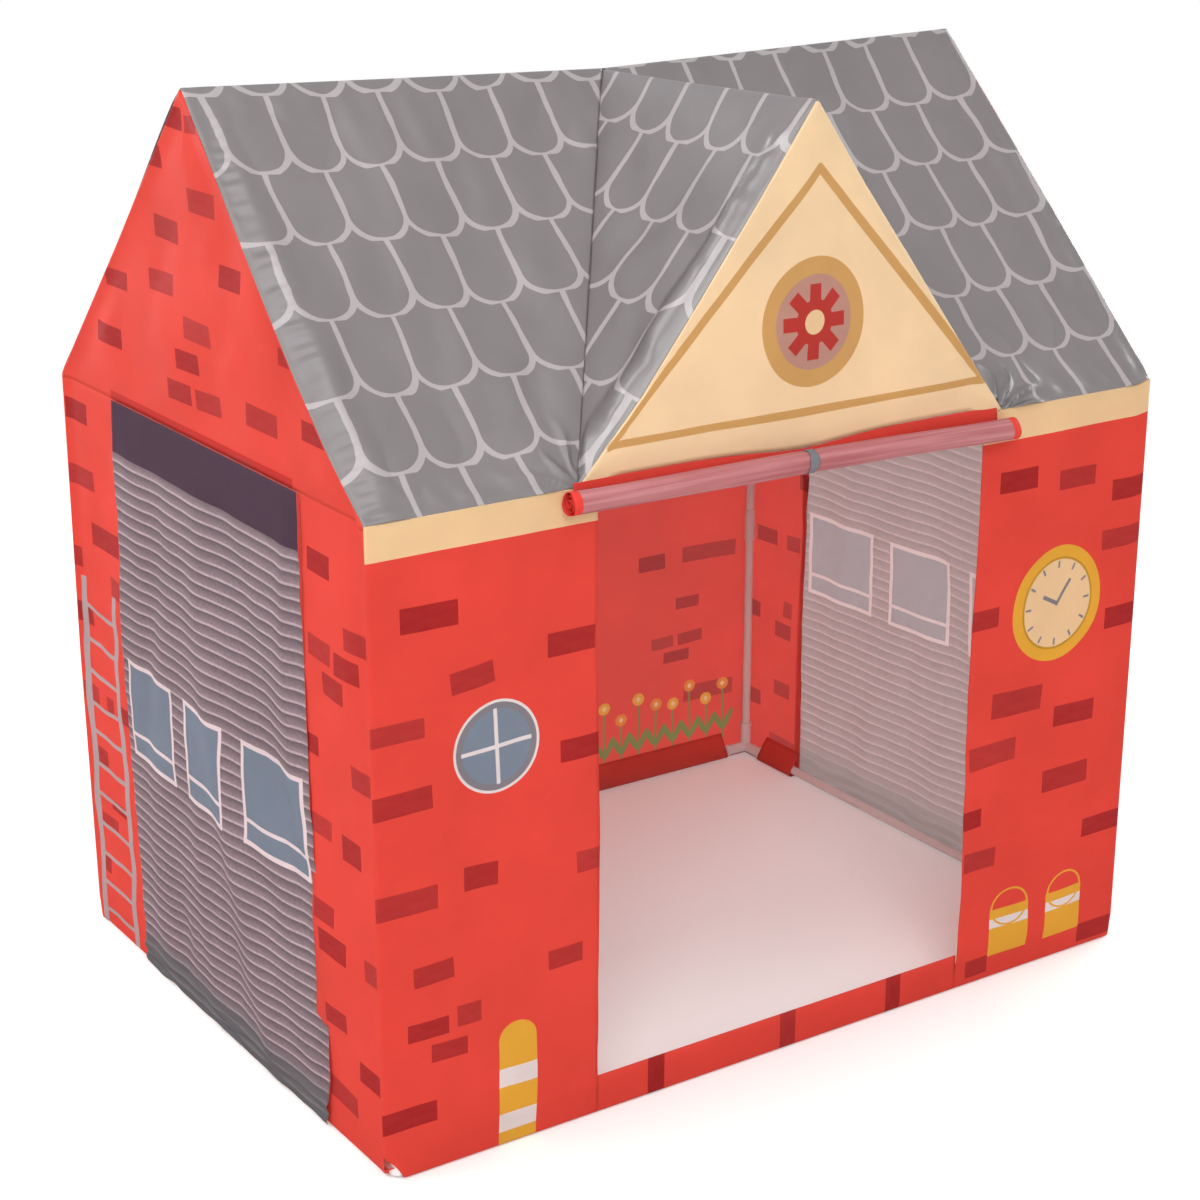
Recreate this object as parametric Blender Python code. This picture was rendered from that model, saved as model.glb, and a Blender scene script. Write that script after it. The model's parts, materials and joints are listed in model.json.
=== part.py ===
"""Play tent in the shape of a fire station, in metres, +Z up, front towards -Y.

White plastic tubes push into moulded connectors and make a cross-gabled house
frame. Thin printed cloth covers it: walls with a sleeve round each base rail,
gables, a roof with a front dormer, a front door rolled up under the dormer and
a loose curtain in each end doorway.
"""

import math

import bmesh
import bpy
from mathutils import Matrix, Quaternion, Vector

for old in list(bpy.data.objects):
    bpy.data.objects.remove(old, do_unlink=True)

# The house, over the outside of the cloth
LENGTH = 1.020
WIDTH = 0.750
EAVE_HEIGHT = 0.706
RIDGE_HEIGHT = 1.072
RIDGE_DIP = 0.012
DORMER_WIDTH = 0.564
DORMER_HEIGHT = 1.057

# Cloth and the gap between sewn pieces
CLOTH = 0.0012
SEAM = 0.0003
TIP_WIDTH = 0.004

# Front wall
FRONT_LEFT_PANEL = 0.252
FRONT_RIGHT_PANEL = 0.258
SILL_HEIGHT = 0.046
WALL_BULGE = 0.003
STITCH_HEIGHT = 0.034
CORNER_NOTCH = 0.012

# End walls
END_FRONT_STRIP = 0.1515
END_BACK_STRIP = 0.139
GABLE_FOOT = 0.702
GABLE_BULGE = 0.003
ROOF_SAG = 0.007

# End curtains
CURTAIN_CLOTH = 0.0010
CURTAIN_SIDE_GAP = 0.003
CURTAIN_HINGE_GAP = 0.0008
CURTAIN_FLOOR_GAP = 0.003
CURTAIN_FOLD_DEPTH = 0.020
CURTAIN_BUNCH_HEIGHT = 0.042
CURTAIN_BUNCH_DEPTH = 0.006
CURTAIN_FOLDS = 3.1
CURTAIN_LEAN_share = 0.45

# Rolled front door
ROLL_RADIUS = 0.0125
ROLL_CORE = 0.0020
ROLL_CLOTH = 0.0003
ROLL_GAP = 0.00042
ROLL_PAST_LEFT = 0.029
ROLL_PAST_RIGHT = 0.041
ROLL_DROP = 0.022
HEAD_STRIP_LAP = 0.007
TIE_WIDTH = 0.011
TIE_CLOTH = 0.0007
TIE_GAP = 0.0004

# Tubes
TUBE_RADIUS = 0.0060
TUBE_WALL = 0.0012
BELL_LENGTH = 0.048
BELL_TAPER = 0.006
BELL_WALL = 0.0011
POST_SPLIT = 0.372

# Connectors
PLUG_GAP = 0.0002
SOCKET_WALL = 0.0012
SOCKET_DEPTH = 0.028
COLLAR_RISE = 0.0006
COLLAR_LENGTH = 0.006
SOCKET_FLOOR = 0.0015
FRAME_GAP = 0.0004
OVERRUN = 0.002

TUBE_SIDES = 12
SLEEVE_TWIST = math.radians(7)
ROLL_STEPS_PER_TURN = 20

# Worked out from the sizes above
HALF_LENGTH = LENGTH / 2
HALF_WIDTH = WIDTH / 2
SIDE_FACTOR = 1 / math.cos(math.pi / TUBE_SIDES)
SOCKET_BORE = (TUBE_RADIUS + PLUG_GAP) * SIDE_FACTOR
SOCKET_RADIUS = SOCKET_BORE + SOCKET_WALL
COLLAR_RADIUS = SOCKET_RADIUS + COLLAR_RISE
INSET = CLOTH + FRAME_GAP + COLLAR_RADIUS
ROOF_PITCH = math.atan2(RIDGE_HEIGHT - EAVE_HEIGHT, HALF_WIDTH)
DORMER_PITCH = math.atan2(DORMER_HEIGHT - EAVE_HEIGHT, DORMER_WIDTH / 2)
WALL_TOP = EAVE_HEIGHT - CLOTH - SEAM
PEDIMENT_FOOT = WALL_TOP + SEAM
DOOR_LEFT = -HALF_LENGTH + FRONT_LEFT_PANEL
DOOR_RIGHT = HALF_LENGTH - FRONT_RIGHT_PANEL
END_DOOR_FRONT = -HALF_WIDTH + END_FRONT_STRIP
END_DOOR_BACK = HALF_WIDTH - END_BACK_STRIP
END_STRIP_TOP = GABLE_FOOT - SEAM
BASE_HEIGHT = SEAM + COLLAR_RADIUS
EAVE_AXIS_HEIGHT = EAVE_HEIGHT - INSET * (1 - math.sin(ROOF_PITCH)) / math.cos(ROOF_PITCH)
HUB_X = HALF_LENGTH - INSET
HUB_Y = HALF_WIDTH - INSET

RED = (0.807, 0.064, 0.051)
CREAM = (0.827, 0.571, 0.315)
ROOF_GREY = (0.296, 0.287, 0.275)
SHUTTER_GREY = (0.254, 0.235, 0.246)
PALE_RED = (0.730, 0.287, 0.292)
TIE_GREY = (0.270, 0.266, 0.283)
WHITE = (0.775, 0.756, 0.753)

tent = bpy.data.objects.new("tent", None)
bpy.context.scene.collection.objects.link(tent)


# Making and finishing an object
def paint(item, colour, roughness):
    finish = bpy.data.materials.new(item.name + "_finish")
    finish.use_nodes = True
    shader = finish.node_tree.nodes["Principled BSDF"]
    shader.inputs["Base Color"].default_value = (*colour, 1)
    shader.inputs["Roughness"].default_value = roughness
    shader.inputs["Metallic"].default_value = 0
    item.data.materials.clear()
    item.data.materials.append(finish)


def add(name, shape, place=None):
    """A new object from a bmesh, under the tent's empty, its mesh counted from its place."""
    mesh = bpy.data.meshes.new(name)
    bmesh.ops.recalc_face_normals(shape, faces=shape.faces)
    shape.to_mesh(mesh)
    shape.free()
    item = bpy.data.objects.new(name, mesh)
    bpy.context.scene.collection.objects.link(item)
    item.parent = tent
    if place is not None:
        mesh.transform(Matrix.Translation(-place))
        item.location = place
    mesh.shade_smooth()
    mesh.set_sharp_from_angle(angle=math.radians(40))
    return item


# Cloth
def skin(name, outer, inner, keep=None, place=None):
    """One closed sheet between two like grids of points. keep(row, column) says which cells are cloth."""
    rows, columns = len(outer) - 1, len(outer[0]) - 1
    cells = [(r, c) for r in range(rows) for c in range(columns) if keep is None or keep(r, c)]
    present = set(cells)
    shape = bmesh.new()
    made = {}

    def corner(layer, spot):
        if (layer, spot) not in made:
            made[layer, spot] = shape.verts.new((outer, inner)[layer][spot[0]][spot[1]])
        return made[layer, spot]

    def far(one, other):
        return (outer[one[0]][one[1]] - outer[other[0]][other[1]]).length

    for r, c in cells:
        ring = ((r, c), (r, c + 1), (r + 1, c + 1), (r + 1, c))
        beside = ((r - 1, c), (r, c + 1), (r + 1, c), (r, c - 1))
        # Both layers are split along the same diagonal, so that they stay parallel where a cell is warped
        turned = ring if far(ring[0], ring[2]) <= far(ring[1], ring[3]) else ring[1:] + ring[:1]
        for half in (turned[:3], turned[2:] + turned[:1]):
            shape.faces.new([corner(0, spot) for spot in half])
            shape.faces.new([corner(1, spot) for spot in reversed(half)])
        for n, neighbour in enumerate(beside):
            if neighbour not in present:
                a, b = ring[n], ring[(n + 1) % 4]
                shape.faces.new([corner(0, b), corner(0, a), corner(1, a), corner(1, b)])
    return add(name, shape, place)


def under(grid, thickness, inwards):
    """The grid moved by thickness along its own normals, to the side that inwards points to."""
    last_row, last_column = len(grid) - 1, len(grid[0]) - 1
    moved = []
    for r, line in enumerate(grid):
        moved.append([])
        for c, point in enumerate(line):
            down = grid[min(r + 1, last_row)][c] - grid[max(r - 1, 0)][c]
            along = line[min(c + 1, last_column)] - line[max(c - 1, 0)]
            normal = down.cross(along).normalized()
            if normal.dot(inwards) < 0:
                normal.negate()
            moved[-1].append(point + normal * thickness)
    return moved


def steps(start, end, count):
    return [start + (end - start) * n / count for n in range(count + 1)]


def swell(u, v):
    """1 in the middle of a panel, 0 with no slope at its edges."""
    return (math.sin(math.pi * u) * math.sin(math.pi * v)) ** 2


def wall_profile(top):
    """A wall cut across, as (inward distance, height): down from its top, round the rail and up to the stitches."""
    heights = steps(top, STITCH_HEIGHT, 4) if top > SILL_HEIGHT else [top, STITCH_HEIGHT]
    width = INSET + TUBE_RADIUS + FRAME_GAP + CLOTH
    rail_top = BASE_HEIGHT + TUBE_RADIUS + FRAME_GAP + CLOTH
    turn = CLOTH * 2
    lap = (CLOTH + SEAM) * 2
    line = [(0, height) for height in heights] + [(0, CORNER_NOTCH)]
    line += [(0, turn), (turn / 2, turn / 4), (turn, 0)]
    line += [(width - turn, 0), (width - turn / 2, turn / 4), (width, turn)]
    line += [(width, BASE_HEIGHT), (width - turn, rail_top)]
    line += [(lap, STITCH_HEIGHT - CLOTH * 3), (lap, STITCH_HEIGHT)]
    return line


def inner_line(line):
    """The line moved to its left by the cloth's thickness, with mitred corners."""
    points = [Vector(p) for p in line]
    moved = []
    for n, point in enumerate(points):
        before = (point - points[n - 1]).normalized() if n else None
        after = (points[n + 1] - point).normalized() if n + 1 < len(points) else None
        run = ((before or after) + (after or before)).normalized()
        side = Vector((-run.y, run.x))
        stretch = max(run.dot(before or after), 0.5)
        moved.append(point + side * CLOTH / stretch)
    return moved


def wall(name, edges, sleeve, top, put, bulge=WALL_BULGE):
    """A wall panel between two edges. It carries its sleeve between the two places in sleeve."""
    first, last = edges
    marks = {first, last, *sleeve}
    if sleeve[0] > first:
        marks.add(first + CORNER_NOTCH)
    if sleeve[1] < last:
        marks.add(last - CORNER_NOTCH)
    marks = sorted(marks)
    across = []
    for a, b in zip(marks, marks[1:]):
        across += steps(a, b, max(1, round((b - a) / (LENGTH / 10))))[:-1]
    across.append(last)
    outer_line = wall_profile(top)
    thick_line = inner_line(outer_line)
    wall_rows = sum(1 for depth, height in outer_line if depth == 0) - 1
    span = last - first

    def layer(line):
        grid = []
        for n, (depth, height) in enumerate(line):
            rise = (top - outer_line[n][1]) / (top - STITCH_HEIGHT) if n < wall_rows else 1
            grid.append([])
            for a in across:
                out = bulge * swell((a - first) / span, min(rise, 1))
                grid[-1].append(put(a, depth - out, height))
        return grid

    def keep(row, column):
        a, b = across[column], across[column + 1]
        if row >= wall_rows - 1:
            return a >= sleeve[0] - SEAM and b <= sleeve[1] + SEAM
        if row == wall_rows - 2:
            notched = (sleeve[0] > first and a < first + SEAM) or (sleeve[1] < last and b > last - SEAM)
            return not notched
        return True

    return skin(name, layer(outer_line), layer(thick_line), keep)


def at_front(a, depth, height):
    return Vector((a, -HALF_WIDTH + depth, height))


def at_back(a, depth, height):
    return Vector((a, HALF_WIDTH - depth, height))


def at_left(a, depth, height):
    return Vector((-HALF_LENGTH + depth, a, height))


def at_right(a, depth, height):
    return Vector((HALF_LENGTH - depth, a, height))


# Frame: each pole runs between two hubs, and each hub has a socket for each of its poles
def dormer_normal():
    """The outward normal of the dormer's left slope, whose ridge runs from its front to the house's ridge."""
    to_front = Vector((DORMER_WIDTH / 2, 0, DORMER_HEIGHT - EAVE_HEIGHT))
    to_back = Vector((DORMER_WIDTH / 2, HALF_WIDTH, RIDGE_HEIGHT - RIDGE_DIP - EAVE_HEIGHT))
    return to_front.cross(to_back).normalized()


# The dormer's hubs lie INSET behind its front and INSET under its slopes, which rise or fall along its ridge
dormer_out = dormer_normal()
apex_drop = INSET * (1 + dormer_out.y) / dormer_out.z
foot_drop = INSET * (1 + dormer_out.y) + (EAVE_AXIS_HEIGHT - EAVE_HEIGHT) * dormer_out.z
foot_x = DORMER_WIDTH / 2 + foot_drop / dormer_out.x
centre_drop = INSET / min(dormer_out.z, math.cos(ROOF_PITCH))
hubs = {}
for end, x in (("left", -HUB_X), ("right", HUB_X)):
    for side, y in (("front", -HUB_Y), ("back", HUB_Y)):
        hubs[f"base_corner_{side}_{end}"] = Vector((x, y, BASE_HEIGHT))
        hubs[f"eave_corner_{side}_{end}"] = Vector((x, y, EAVE_AXIS_HEIGHT))
    hubs[f"ridge_end_{end}"] = Vector((x, 0, RIDGE_HEIGHT - INSET / math.cos(ROOF_PITCH)))
hubs["ridge_centre"] = Vector((0, 0, RIDGE_HEIGHT - RIDGE_DIP - centre_drop))
hubs["dormer_apex"] = Vector((0, -HUB_Y, DORMER_HEIGHT - apex_drop))
hubs["dormer_foot_left"] = Vector((-foot_x, -HUB_Y, EAVE_AXIS_HEIGHT))
hubs["dormer_foot_right"] = Vector((foot_x, -HUB_Y, EAVE_AXIS_HEIGHT))

poles = [("dormer_ridge_pole", "dormer_apex", "ridge_centre")]
for side in ("front", "back"):
    poles.append((f"base_rail_{side}", f"base_corner_{side}_left", f"base_corner_{side}_right"))
    poles.append((f"eave_rail_{side}", f"eave_corner_{side}_left", f"eave_corner_{side}_right"))
for end in ("left", "right"):
    poles.append((f"base_rail_{end}", f"base_corner_front_{end}", f"base_corner_back_{end}"))
    poles.append((f"eave_bar_{end}", f"eave_corner_front_{end}", f"eave_corner_back_{end}"))
    poles.append((f"ridge_pole_{end}", f"ridge_end_{end}", "ridge_centre"))
    poles.append((f"dormer_rafter_{end}", f"dormer_foot_{end}", "dormer_apex"))
    for side in ("front", "back"):
        poles.append((f"post_{side}_{end}", f"base_corner_{side}_{end}", f"eave_corner_{side}_{end}"))
        poles.append((f"rafter_{side}_{end}", f"eave_corner_{side}_{end}", f"ridge_end_{end}"))

arms = {name: [] for name in hubs}
for pole, start, end in poles:
    direction = (hubs[end] - hubs[start]).normalized()
    arms[start].append((pole, direction))
    arms[end].append((pole, -direction))


def socket_start(hub, pole):
    """How far from the hub a socket's floor lies, so that it stays out of the hub's other sleeves."""
    direction = next(d for name, d in arms[hub] if name == pole)
    others = [d for name, d in arms[hub] if name != pole]
    if hub.startswith("dormer_foot"):
        others += [Vector((1, 0, 0)), Vector((-1, 0, 0))]
    sharpest = min(direction.angle(other) for other in others)
    return (SOCKET_RADIUS + SOCKET_BORE * math.cos(sharpest)) / math.sin(sharpest) + SOCKET_FLOOR


def lathe(profile, closed, sides=TUBE_SIDES):
    """A profile of (radius, height) turned round Z. A closed one is a ring, and an open one ends on the axis."""
    shape = bmesh.new()
    rings = []
    for radius, height in profile:
        if radius == 0:
            rings.append([shape.verts.new((0, 0, height))])
            continue
        turn = [math.tau * n / sides for n in range(sides)]
        rings.append([shape.verts.new((radius * math.cos(a), radius * math.sin(a), height)) for a in turn])
    pairs = list(zip(rings, rings[1:])) + ([(rings[-1], rings[0])] if closed else [])
    for low, high in pairs:
        for n in range(sides):
            m = (n + 1) % sides
            ring = [low[n % len(low)], low[m % len(low)], high[m % len(high)], high[n % len(high)]]
            shape.faces.new(list(dict.fromkeys(ring)))
    return shape


def pointed(item, place, direction, twist=0):
    """Stands an object that was made along +Z at a place, along a direction, turned by twist about it."""
    item.rotation_mode = "QUATERNION"
    item.rotation_quaternion = direction.to_track_quat("Z", "Y") @ Quaternion((0, 0, 1), twist)
    item.location = place
    return item


def tube(name, start, end, bell=False):
    """A hollow tube. One with a bell is wider at its far end, where the next tube plugs in."""
    bore = TUBE_RADIUS - TUBE_WALL
    length = (end - start).length
    if not bell:
        profile = [(bore, 0), (TUBE_RADIUS, 0), (TUBE_RADIUS, length), (bore, length)]
    else:
        shoulder = length - BELL_LENGTH
        wide = SOCKET_BORE + BELL_WALL
        profile = [(bore, 0), (TUBE_RADIUS, 0), (TUBE_RADIUS, shoulder), (wide, shoulder + BELL_TAPER)]
        profile += [(wide, length), (SOCKET_BORE, length), (SOCKET_BORE, shoulder + BELL_TAPER)]
        profile += [(bore, shoulder + BELL_TAPER)]
    item = add(name, lathe(profile, True))
    paint(item, WHITE, 0.35)
    return pointed(item, start, (end - start).normalized())


for pole, start, end in poles:
    run = (hubs[end] - hubs[start]).normalized()
    foot = hubs[start] + run * (socket_start(start, pole) + FRAME_GAP)
    head = hubs[end] - run * (socket_start(end, pole) + FRAME_GAP)
    if pole.startswith("post"):
        mouth = Vector((foot.x, foot.y, POST_SPLIT))
        tube(pole + "_lower", foot, mouth, bell=True)
        plugged = mouth - run * (BELL_LENGTH - BELL_TAPER - FRAME_GAP)
        tube(pole + "_upper", plugged, head)
    else:
        tube(pole, foot, head)


def joined(item, others, operation):
    """Adds other shapes to an object, or cuts them out of it, and keeps the result as its mesh."""
    for other in others:
        step = item.modifiers.new(other.name, "BOOLEAN")
        step.operation = operation
        step.solver = "EXACT"
        step.object = other
    bpy.context.view_layer.update()
    graph = bpy.context.evaluated_depsgraph_get()
    result = bpy.data.meshes.new_from_object(item.evaluated_get(graph))
    item.modifiers.clear()
    item.data = result
    for other in others:
        bpy.data.objects.remove(other, do_unlink=True)


def connector(name):
    """A moulded hub with one collared blind socket for each of its tubes."""
    hub = hubs[name]
    ball = bmesh.new()
    bmesh.ops.create_icosphere(ball, subdivisions=1, radius=COLLAR_RADIUS)
    body = add(name, ball)
    body.location = hub
    sleeves = []
    for n, (pole, direction) in enumerate(arms[name]):
        floor = socket_start(name, pole)
        mouth = floor + SOCKET_DEPTH
        profile = [(0, 0), (SOCKET_RADIUS, 0), (SOCKET_RADIUS, mouth - COLLAR_LENGTH)]
        profile += [(COLLAR_RADIUS, mouth - COLLAR_LENGTH), (COLLAR_RADIUS, mouth)]
        profile += [(SOCKET_BORE, mouth), (SOCKET_BORE, floor), (0, floor)]
        sleeve = add(name + "_sleeve", lathe(profile, False))
        sleeves.append(pointed(sleeve, hub, direction, SLEEVE_TWIST * (n + 1)))
    if name.startswith("dormer_foot"):
        along = Vector((1, 0, 0))
        start, length = hub - along * SOCKET_DEPTH, SOCKET_DEPTH * 2
        profile = [(0, 0), (COLLAR_RADIUS, 0), (COLLAR_RADIUS, COLLAR_LENGTH)]
        profile += [(SOCKET_RADIUS, COLLAR_LENGTH), (SOCKET_RADIUS, length - COLLAR_LENGTH)]
        profile += [(COLLAR_RADIUS, length - COLLAR_LENGTH), (COLLAR_RADIUS, length), (0, length)]
        sleeves.append(pointed(add(name + "_sleeve", lathe(profile, False)), start, along))
    joined(body, sleeves, "UNION")
    if name.startswith("dormer_foot"):
        profile = [(0, -OVERRUN), (SOCKET_BORE, -OVERRUN)]
        profile += [(SOCKET_BORE, length + OVERRUN), (0, length + OVERRUN)]
        bore = pointed(add(name + "_bore", lathe(profile, False)), start, along, SLEEVE_TWIST)
        joined(body, [bore], "DIFFERENCE")
    body.data.shade_smooth()
    body.data.set_sharp_from_angle(angle=math.radians(40))
    paint(body, WHITE, 0.4)


for name in hubs:
    connector(name)

# Walls: each sleeve stops short of the corner connectors
sleeve_inset = INSET + socket_start("base_corner_front_left", "base_rail_front") + SOCKET_DEPTH + FRAME_GAP
front_sleeve = (-HALF_LENGTH + sleeve_inset, DOOR_LEFT)
front_left = wall("front_left_panel", (-HALF_LENGTH, DOOR_LEFT), front_sleeve, WALL_TOP, at_front)
front_sleeve = (DOOR_RIGHT, HALF_LENGTH - sleeve_inset)
front_right = wall("front_right_panel", (DOOR_RIGHT, HALF_LENGTH), front_sleeve, WALL_TOP, at_front)
sill_ends = (DOOR_LEFT + SEAM, DOOR_RIGHT - SEAM)
sill = wall("front_sill", sill_ends, sill_ends, SILL_HEIGHT, at_front, bulge=0)
back_sleeve = (-HALF_LENGTH + sleeve_inset, HALF_LENGTH - sleeve_inset)
back = wall("back_wall", (-HALF_LENGTH, HALF_LENGTH), back_sleeve, WALL_TOP, at_back)
for panel in (front_left, front_right, sill, back):
    paint(panel, RED, 0.65)

end_edge = HALF_WIDTH - CLOTH - SEAM
end_sleeve = HALF_WIDTH - sleeve_inset
for end, put in (("left", at_left), ("right", at_right)):
    edges, sleeve = (-end_edge, END_DOOR_FRONT), (-end_sleeve, END_DOOR_FRONT)
    paint(wall(f"{end}_end_front_strip", edges, sleeve, END_STRIP_TOP, put), RED, 0.65)
    edges, sleeve = (END_DOOR_BACK, end_edge), (END_DOOR_BACK, end_sleeve)
    paint(wall(f"{end}_end_back_strip", edges, sleeve, END_STRIP_TOP, put), RED, 0.65)


# Gables and pediment: triangles that lie just under the roof's slopes
def gable(name, foot, ridge, pitch, widest, put, colour):
    """A triangle of cloth from its foot up to the roof's underside, no wider than widest."""
    under_ridge = ridge - (CLOTH + SEAM) / math.cos(pitch)
    corner = under_ridge - widest * math.tan(pitch)
    tip = under_ridge - TIP_WIDTH / 2 * math.tan(pitch)
    heights = [foot] if corner <= foot else [foot, corner]
    heights += steps(heights[-1], tip, 6)[1:]
    outer, inner = [], []
    for height in heights:
        half = min(widest, (under_ridge - height) / math.tan(pitch))
        rise = (height - foot) / (tip - foot)
        line = [(half * share, GABLE_BULGE * swell((share + 1) / 2, rise)) for share in steps(-1, 1, 6)]
        outer.append([put(a, -out, height) for a, out in line])
        inner.append([put(a, CLOTH - out, height) for a, out in line])
    item = skin(name, outer, inner)
    paint(item, colour, 0.65)


for end, put in (("left", at_left), ("right", at_right)):
    gable(f"{end}_gable", GABLE_FOOT, RIDGE_HEIGHT, ROOF_PITCH, end_edge - SEAM, put, RED)
gable("pediment", PEDIMENT_FOOT, DORMER_HEIGHT, DORMER_PITCH, DORMER_WIDTH / 2, at_front, CREAM)

# Roof: slopes that hang a little between the poles
up = Vector((0, 0, 1))
dip = Vector((0, 0, RIDGE_DIP))
ridge_back = CLOTH * math.sin(ROOF_PITCH) + SEAM
ridge_top = RIDGE_HEIGHT - ridge_back * math.tan(ROOF_PITCH)
dormer_back = CLOTH * math.sin(DORMER_PITCH) + SEAM
dormer_drop = dormer_back * math.tan(DORMER_PITCH)


def slope_grid(low_start, low_end, high_start, high_end, rows=6, columns=6):
    """Points over the four corners of a roof panel, with its hanging middle."""
    grid = []
    for v in steps(0, 1, rows):
        start, end = low_start.lerp(high_start, v), low_end.lerp(high_end, v)
        grid.append([start.lerp(end, u) - up * ROOF_SAG * swell(u, v) for u in steps(0, 1, columns)])
    return grid


def slope(name, grid):
    paint(skin(name, grid, under(grid, CLOTH, -up)), ROOF_GREY, 0.45)


# The back slope is one piece of cloth, folded a little over the dip in the ridge's middle
foot_middle = Vector((0, HALF_WIDTH, EAVE_HEIGHT))
top_middle = Vector((0, ridge_back, ridge_top)) - dip
halves = []
for x in (-HALF_LENGTH, HALF_LENGTH):
    foot_end, top_end = Vector((x, HALF_WIDTH, EAVE_HEIGHT)), Vector((x, ridge_back, ridge_top))
    halves.append(slope_grid(foot_end, foot_middle, top_end, top_middle))
slope("roof_back", [left + right[-2::-1] for left, right in zip(*halves)])

clear_of_foot = EAVE_AXIS_HEIGHT + COLLAR_RADIUS + SEAM + CLOTH / dormer_out.z
start_share = (clear_of_foot - EAVE_HEIGHT) / (DORMER_HEIGHT - EAVE_HEIGHT)
for end, x in (("left", 1), ("right", -1)):
    mirror = Vector((x, 1, 1))
    corners = [
        Vector((-HALF_LENGTH, -HALF_WIDTH, EAVE_HEIGHT)),
        Vector((-DORMER_WIDTH / 2 - SEAM, -HALF_WIDTH, EAVE_HEIGHT)),
        Vector((-HALF_LENGTH, -ridge_back, ridge_top)),
        Vector((-SEAM * 2, -ridge_back, ridge_top)) - dip,
    ]
    slope(f"roof_front_{end}", slope_grid(*(corner * mirror for corner in corners)))

    foot = Vector((-DORMER_WIDTH / 2, -HALF_WIDTH, EAVE_HEIGHT))
    front_top = Vector((-dormer_back, -HALF_WIDTH, DORMER_HEIGHT - dormer_drop))
    back_top = Vector((-dormer_back, -ridge_back * 2, RIDGE_HEIGHT - dormer_drop)) - dip
    corners = [foot.lerp(front_top, start_share), foot.lerp(back_top, start_share), front_top, back_top]
    slope(f"dormer_roof_{end}", slope_grid(*(corner * mirror for corner in corners)))

# End curtains: each hangs from the foot of its gable and swings outwards
curtain_top = GABLE_FOOT - CURTAIN_HINGE_GAP
curtain_span = (END_DOOR_FRONT + CURTAIN_SIDE_GAP, END_DOOR_BACK - CURTAIN_SIDE_GAP)


def curtain_depth(across, height):
    """How far the cloth stands out at a share of its width and at a height."""
    down = (curtain_top - height) / (curtain_top - CURTAIN_FLOOR_GAP)
    turn = math.tau * CURTAIN_FOLDS * (across + CURTAIN_LEAN_share * down)
    depth = CURTAIN_FOLD_DEPTH * down * (1 - math.cos(turn)) / 2
    above = (height - CURTAIN_FLOOR_GAP) / CURTAIN_BUNCH_HEIGHT
    if above < 1:
        depth += CURTAIN_BUNCH_DEPTH * (1 - above) * (1 - math.cos(2 * math.tau * above)) / 2
    return depth


bunch_top = CURTAIN_FLOOR_GAP + CURTAIN_BUNCH_HEIGHT
curtain_rows = steps(curtain_top, bunch_top, 9) + steps(bunch_top, CURTAIN_FLOOR_GAP, 8)[1:]
for end, put in (("left", at_left), ("right", at_right)):
    shares = steps(0, 1, 24)
    grid = []
    for height in curtain_rows:
        grid.append([])
        for share in shares:
            a = curtain_span[0] + (curtain_span[1] - curtain_span[0]) * share
            grid[-1].append(put(a, -curtain_depth(share, height), height))
    inwards = put(0, 1, 0) - put(0, 0, 0)
    axis = put(0, CURTAIN_CLOTH / 2, curtain_top)
    curtain = skin(f"{end}_curtain", grid, under(grid, CURTAIN_CLOTH, inwards), place=axis)
    paint(curtain, SHUTTER_GREY, 0.7)

# Rolled door: a head strip from the pediment's foot, down behind the roll, and the roll's spiral
roll_ends = (DOOR_LEFT - ROLL_PAST_LEFT, DOOR_RIGHT + ROLL_PAST_RIGHT)
strip_back = -HALF_WIDTH - SEAM
roll_axis = Vector((0, strip_back - CLOTH - SEAM - ROLL_RADIUS, PEDIMENT_FOOT - ROLL_DROP))
strip_heights = (PEDIMENT_FOOT + HEAD_STRIP_LAP, roll_axis.z)
outer = [[Vector((x, strip_back - CLOTH, z)) for x in roll_ends] for z in strip_heights]
inner = [[Vector((x, strip_back, z)) for x in roll_ends] for z in strip_heights]
strip_centre = Vector((0, strip_back, strip_heights[0]))
paint(skin("door_head_strip", outer, inner, place=strip_centre), RED, 0.65)

roll_pitch = ROLL_CLOTH + ROLL_GAP
roll_turns = (ROLL_RADIUS - ROLL_CORE) / roll_pitch
roll_steps = int(roll_turns * ROLL_STEPS_PER_TURN)


def roll_point(step, x, depth):
    """A point on the spiral, which starts at the back and winds down, forwards and up."""
    angle = math.tau * step / ROLL_STEPS_PER_TURN
    radius = ROLL_RADIUS - depth - roll_pitch * step / ROLL_STEPS_PER_TURN
    return roll_axis + Vector((x, radius * math.cos(angle), -radius * math.sin(angle)))


outer = [[roll_point(n, x, 0) for x in roll_ends] for n in range(roll_steps + 1)]
inner = [[roll_point(n, x, ROLL_CLOTH) for x in roll_ends] for n in range(roll_steps + 1)]
paint(skin("door_roll", outer, inner, place=roll_axis), PALE_RED, 0.6)
turn_gaps = [
    (inner[n][0] - outer[n + ROLL_STEPS_PER_TURN][0]).length
    for n in range(roll_steps + 1 - ROLL_STEPS_PER_TURN)
]
facet_factor = math.cos(math.pi / ROLL_STEPS_PER_TURN)
rolled_length = sum((outer[n + 1][0] - outer[n][0]).length for n in range(roll_steps))
print(f"door roll: {roll_turns:.1f} turns, {rolled_length:.3f} m of cloth, least gap between turns "
      f"{min(turn_gaps) * facet_factor * 1000:.3f} mm")

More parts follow.
